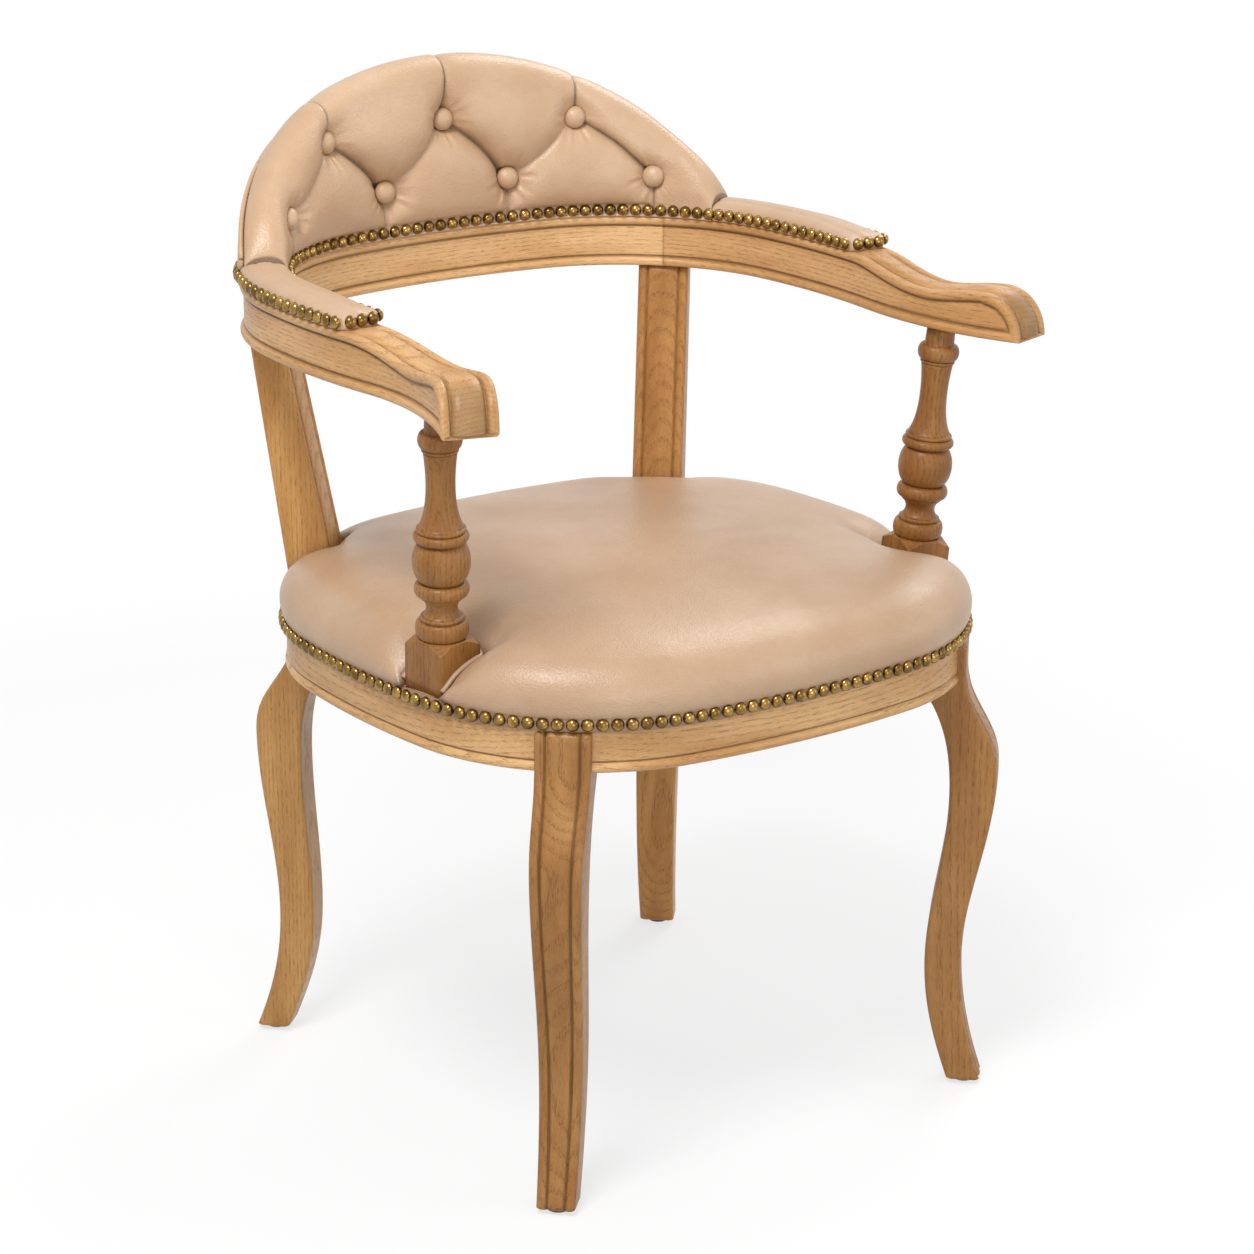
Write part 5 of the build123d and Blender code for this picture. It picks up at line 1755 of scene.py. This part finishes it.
class DomedHeads(Wiring):
    """A node tree that sets a domed head on every point, facing as the point says."""

    def __init__(self) -> None:
        """Builds the tree with named inputs."""
        super().__init__(bpy.data.node_groups.new("domed_heads", "GeometryNodeTree"))
        face = self.tree.interface
        face.new_socket("Geometry", in_out="INPUT", socket_type="NodeSocketGeometry")
        self.sockets = {}
        kinds = {
            "Diameter": "NodeSocketFloat",
            "Height": "NodeSocketFloat",
            "Sides": "NodeSocketInt",
            "Rings": "NodeSocketInt",
            "Tilt": "NodeSocketFloat",
            "Seed": "NodeSocketInt",
            "Finish": "NodeSocketMaterial",
        }
        for name, kind in kinds.items():
            self.sockets[name] = face.new_socket(name, in_out="INPUT", socket_type=kind).identifier
        face.new_socket("Geometry", in_out="OUTPUT", socket_type="NodeSocketGeometry")
        self.wire()

    def wire(self) -> None:
        """Wires the head, its facing and its place."""
        given = self.tree.nodes.new("NodeGroupInput").outputs
        values = {"Segments": given["Sides"], "Rings": given["Rings"], "Radius": 1.0}
        ball = self.add("GeometryNodeMeshUVSphere", values)
        spot = self.node("SeparateXYZ", {0: self.add("GeometryNodeInputPosition").outputs[0]}).outputs
        radius = self.math("MULTIPLY", given["Diameter"], 0.5)
        flat = self.math("MAXIMUM", spot[2], -0.15)
        sizes = ((spot[0], radius), (spot[1], radius), (flat, given["Height"]))
        parts = [self.math("MULTIPLY", part, size) for part, size in sizes]
        place = self.node("CombineXYZ", dict(enumerate(parts)))
        values = {"Geometry": ball.outputs[0], "Position": place.outputs[0]}
        head = self.add("GeometryNodeSetPosition", values)
        facing = self.add("GeometryNodeInputNamedAttribute", {"Name": "facing"}, data_type="FLOAT_VECTOR")
        limits = (self.math("MULTIPLY", given["Tilt"], -1.0), given["Tilt"])
        least, most = (self.node("CombineXYZ", {0: tilt, 1: tilt, 2: tilt}).outputs[0] for tilt in limits)
        values = {0: least, 1: most, "Seed": given["Seed"]}
        jitter = self.add("FunctionNodeRandomValue", values, data_type="FLOAT_VECTOR")
        way = self.vector("ADD", facing.outputs[0], jitter.outputs[0])
        turn = self.add("FunctionNodeAlignRotationToVector", {"Vector": way}, axis="Z")
        values = {"Points": given["Geometry"], "Instance": head.outputs[0], "Rotation": turn.outputs[0]}
        made = self.add("GeometryNodeInstanceOnPoints", values)
        for kind in ("GeometryNodeRealizeInstances", "GeometryNodeSetShadeSmooth"):
            made = self.add(kind, {"Geometry": made.outputs[0]})
        values = {"Geometry": made.outputs[0], "Material": given["Finish"]}
        dressed = self.add("GeometryNodeSetMaterial", values)
        self.add("NodeGroupOutput", {0: dressed.outputs[0]})

    def build(self, name: str, row: tuple[Array, Array], finish: Material, **sizes: float) -> Piece:
        """Sets heads along one row.

        Args:
            name: Name of the new piece.
            row: Places in millimetres, and facings.
            finish: The heads' material.
            sizes: Values for the tree's other inputs, in metres and counts.

        Returns:
            The heads as one plain mesh.
        """
        places, facings = row
        mesh = bpy.data.meshes.new(name)
        mesh.from_pydata((places * MM).tolist(), [], [])
        layer = mesh.attributes.new("facing", "FLOAT_VECTOR", "POINT")
        layer.data.foreach_set("vector", facings.astype(np.float32).ravel())
        made = placed(name, mesh)
        modifier = made.modifiers.new("heads", "NODES")
        modifier.node_group = self.tree
        modifier[self.sockets["Finish"]] = finish
        for key, value in sizes.items():
            modifier[self.sockets[key]] = value
        graph = bpy.context.evaluated_depsgraph_get()
        made.data = bpy.data.meshes.new_from_object(made.evaluated_get(graph), depsgraph=graph)
        made.modifiers.clear()
        return made


# Small pieces


@dataclass
class Glides:
    """Four dark glides under the feet."""

    places: tuple[Pair, ...] = (
        (210.73, -232.5), (-210.73, -232.5), (207.58, 197.53), (-207.58, 197.53),
    )
    outline: tuple[Pair, ...] = (
        (0.0, 0.0), (7.0, 0.0), (8.4, 0.3), (9.8, 1.4), (10.6, 2.8), (10.8, 4.1), (0.0, 4.1),
    )

    def build(self) -> Piece:
        """Turns the four glides as one piece."""
        ring = unit(np.linspace(0, 360, 36, endpoint=False))
        shell = Shell()
        for x, y in self.places:
            rows = [raised(ring * radius + (x, y), height) for radius, height in self.outline]
            shell.grid(np.array(rows))
        return shell.piece("plastic_glides")


# Stage


@dataclass
class Studio:
    """Pale floor, soft light and the camera at the photograph's angle."""

    azimuth: float = -36.4
    elevation: float = 18.0
    distance: float = 3.06
    roll: float = 0.5
    target: Triple = (0.001, -0.0297, 0.387)
    lens: float = 106.1
    sensor: float = 36.0
    lit_height: float = 0.45

    def build_camera(self) -> None:
        """Places the camera."""
        data = bpy.data.cameras.new("camera")
        data.lens, data.sensor_width = self.lens, self.sensor
        data.clip_start, data.clip_end = 0.05, 60.0
        camera = placed("camera", data)
        turn, rise = math.radians(self.azimuth), math.radians(self.elevation)
        back = Vector((math.sin(turn) * math.cos(rise), -math.cos(turn) * math.cos(rise), math.sin(rise)))
        camera.location = Vector(self.target) + back * self.distance
        camera.rotation_mode = "QUATERNION"
        aim = (-back).to_track_quat("-Z", "Y")
        camera.rotation_quaternion = aim @ Vector((0, 1, 0)).rotation_difference(
            Vector((-math.sin(math.radians(self.roll)), math.cos(math.radians(self.roll)), 0))
        )
        bpy.context.scene.camera = camera

    def build_floor(self) -> None:
        """Lays a pale floor that keeps the chair's shadow and fades to white."""
        wire = Shader("floor_white")
        place = wire.place()
        reach = wire.node("VectorMath", {0: place}, operation="LENGTH").outputs["Value"]
        far = wire.ramp(reach, 0.45, 1.5)
        seen = wire.seen()
        colour = wire.mix(seen, (0.74, 0.74, 0.74, 1.0), (0.9, 0.9, 0.9, 1.0))
        pale = wire.node("BsdfDiffuse", {"Color": colour})
        glow = wire.node("Emission", {"Color": (1.0, 1.0, 1.0, 1.0), "Strength": 1.0})
        share = wire.math("MULTIPLY", seen, wire.math("MAXIMUM", far, 0.7))
        both = wire.node("MixShader", {0: share, 1: pale.outputs[0], 2: glow.outputs[0]})
        wire.node("OutputMaterial", {"Surface": both.outputs[0]})
        mesh = bpy.data.meshes.new("floor")
        ring = unit(np.linspace(0, 360, 96, endpoint=False)) * 24.0
        mesh.from_pydata([(x, y, -0.0002) for x, y in ring.tolist()], [], [list(range(len(ring)))])
        mesh.materials.append(wire.material)
        floor = placed("floor", mesh)

    def build_light(self) -> None:
        """Sets a white world and four soft lamps."""
        world = bpy.data.worlds.new("studio")
        bpy.context.scene.world = world
        world.use_nodes = True
        wire = Wiring(world.node_tree)
        white = (1.0, 1.0, 1.0, 1.0)
        plain = wire.node("Background", {"Color": white, "Strength": 0.5}).outputs[0]
        bright = wire.node("Background", {"Color": white, "Strength": 1.0}).outputs[0]
        mixed = wire.node("MixShader", {0: wire.seen(), 1: plain, 2: bright})
        wire.node("OutputWorld", {"Surface": mixed.outputs[0]})
        lamps = {
            "key": ((-1.5, -0.9, 3.0), 1.2, 66.0),
            "front": ((-1.0, -2.9, 1.0), 1.6, 17.0),
            "fill": ((2.0, -2.2, 1.3), 1.6, 11.0),
            "top": ((1.9, 0.8, 2.4), 1.4, 22.0),
        }
        for name, (place, size, power) in lamps.items():
            data = bpy.data.lights.new(name, "AREA")
            data.shape, data.size, data.energy = "DISK", size, power
            lamp = placed(name, data)
            lamp.location = place
            lamp.rotation_mode = "QUATERNION"
            aim = Vector((0, 0, self.lit_height)) - Vector(place)
            lamp.rotation_quaternion = aim.to_track_quat("-Z", "Y")

    def build(self) -> None:
        """Builds the stage and sets the plain view transform."""
        self.build_camera()
        self.build_floor()
        self.build_light()
        bpy.context.scene.view_settings.view_transform = "Standard"


# The chair


class Armchair:
    """Builds every sub-assembly of the chair in order."""

    legs = (
        # Last two numbers of each leg: painted shade over the leg below the rail, and over the post above it
        ("front_leg_left", -44.0, 405.0, 0.0, 0.0),
        ("front_leg_right", 224.0, 405.0, 0.0, 0.0),
        ("rear_leg_left", 47.5, 630.4, 0.0, 0.4),
        ("rear_leg_right", 132.5, 630.4, 0.45, 0.0),
    )
    rails = (
        ("seat_rail_front", -133.0, -47.0),
        ("seat_rail_back", 50.0, 130.0),
        ("seat_rail_left", -43.5, 49.0),
        ("seat_rail_right", 131.0, 223.5),
    )
    hidden = (
        "corner_block_front_left", "corner_block_front_right", "corner_block_rear_left",
        "corner_block_rear_right", "seat_board", "back_uprights", "bow_tenons",
    )

    def __init__(self) -> None:
        """Makes the finishes and the heads' node tree."""
        self.finishes = Finishes()
        self.heads = DomedHeads()

    def build_frame(self) -> None:
        """Legs, rails, arm posts, arms and bow."""
        wood = self.finishes
        for node, turn, top, low_painted_shade, high_painted_shade in self.legs:
            rear = wood.rear_left if node.endswith("left") else wood.rear_right
            finish = wood.leg if node.startswith("front") else rear
            dress(Leg(node, turn, top, low_painted_shade, high_painted_shade).build(), finish, Slot.OAK, node)
        for node, first, last in self.rails:
            dress(SeatRail(node, first, last).build(), wood.rail, Slot.OAK, node)
        moulding = Moulding()
        dress(moulding.build_bow(), wood.bow, Slot.OAK, "back_bow")
        for side in ("left", "right"):
            mirrored = side == "right"
            post = TurnedPost().build(f"oak_arm_post_{side}", mirrored)
            dress(post, wood.post, Slot.OAK, f"arm_post_{side}")
            arm = moulding.build_arm(f"oak_arm_{side}", mirrored)
            dress(arm, wood.arm, Slot.OAK, f"arm_{side}")
        for node in self.hidden:
            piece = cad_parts[node]
            piece.data.materials.clear()
            piece.data.materials.append(wood.inner_wood)

    def build_leather(self) -> None:
        """Seat, back, arm pads, welts and strips."""
        leather, back_leather = self.finishes.leather, self.finishes.back_leather
        seat, back, pad = Seat(), TuftedBack(), ArmPad()
        cushion = dress(seat.build_cushion(), leather, Slot.LEATHER, "seat_cushion")
        strip = seat.build_strip("leather_nail_strip", bottom=392.6, top=404.4, lift=0.4)
        dress(strip, leather, Slot.LEATHER)
        for sign in (1, -1):
            dress(seat.build_welt(cushion, sign), leather, Slot.LEATHER)
        tufted = dress(back.build(), back_leather, Slot.LEATHER, "back_cushion")
        outside = dress(back.build_outside(), back_leather, Slot.LEATHER, "outside_back")
        dress(back.build_outside_welt(), back_leather, Slot.LEATHER)
        dress(back.build_edge(), self.finishes.cut_edge, Slot.LEATHER)
        buttons = self.heads.build(
            "leather_back_buttons", back.buttons(), back_leather,
            Diameter=0.0194, Height=0.0078, Sides=32, Rings=16, Tilt=0.02, Seed=3,
        )
        dress(buttons, back_leather, Slot.LEATHER, "back_buttons")
        rows = {
            "brass_seat_nails": seat.nails(),
            "brass_back_nails": back.nails(False),
            "brass_outside_back_nails": back.nails(True),
        }
        for side in ("left", "right"):
            mirrored = side == "right"
            piece = pad.build(f"leather_arm_pad_{side}", mirrored)
            dress(piece, self.finishes.pad_leather, Slot.LEATHER, f"arm_pad_{side}")
            flip = np.array([-1.0 if mirrored else 1.0, 1.0, 1.0])
            rows[f"brass_arm_pad_nails_{side}"] = tuple(part * flip for part in pad.nails())
        for seed, (name, row) in enumerate(rows.items()):
            nails = self.heads.build(
                name, row, self.finishes.brass,
                Diameter=0.0107, Height=0.0044, Sides=12, Rings=6, Tilt=0.05, Seed=seed,
            )
            dress(nails, self.finishes.brass, Slot.BRASS)

    def build_small(self) -> None:
        """Dust cover and glides."""
        cloth = DustCover()
        cover = dress(cloth.build(), self.finishes.cloth, Slot.CLOTH, "dust_cover")
        dress(Glides().build(), self.finishes.glide, Slot.GLIDE, "glides")


def main() -> None:
    """Builds the chair and its stage."""
    logging.basicConfig(level=logging.INFO, format="%(name)s %(message)s")
    chair = Armchair()
    chair.build_frame()
    chair.build_leather()
    chair.build_small()
    Studio().build()


if __name__ == "__main__":
    main()
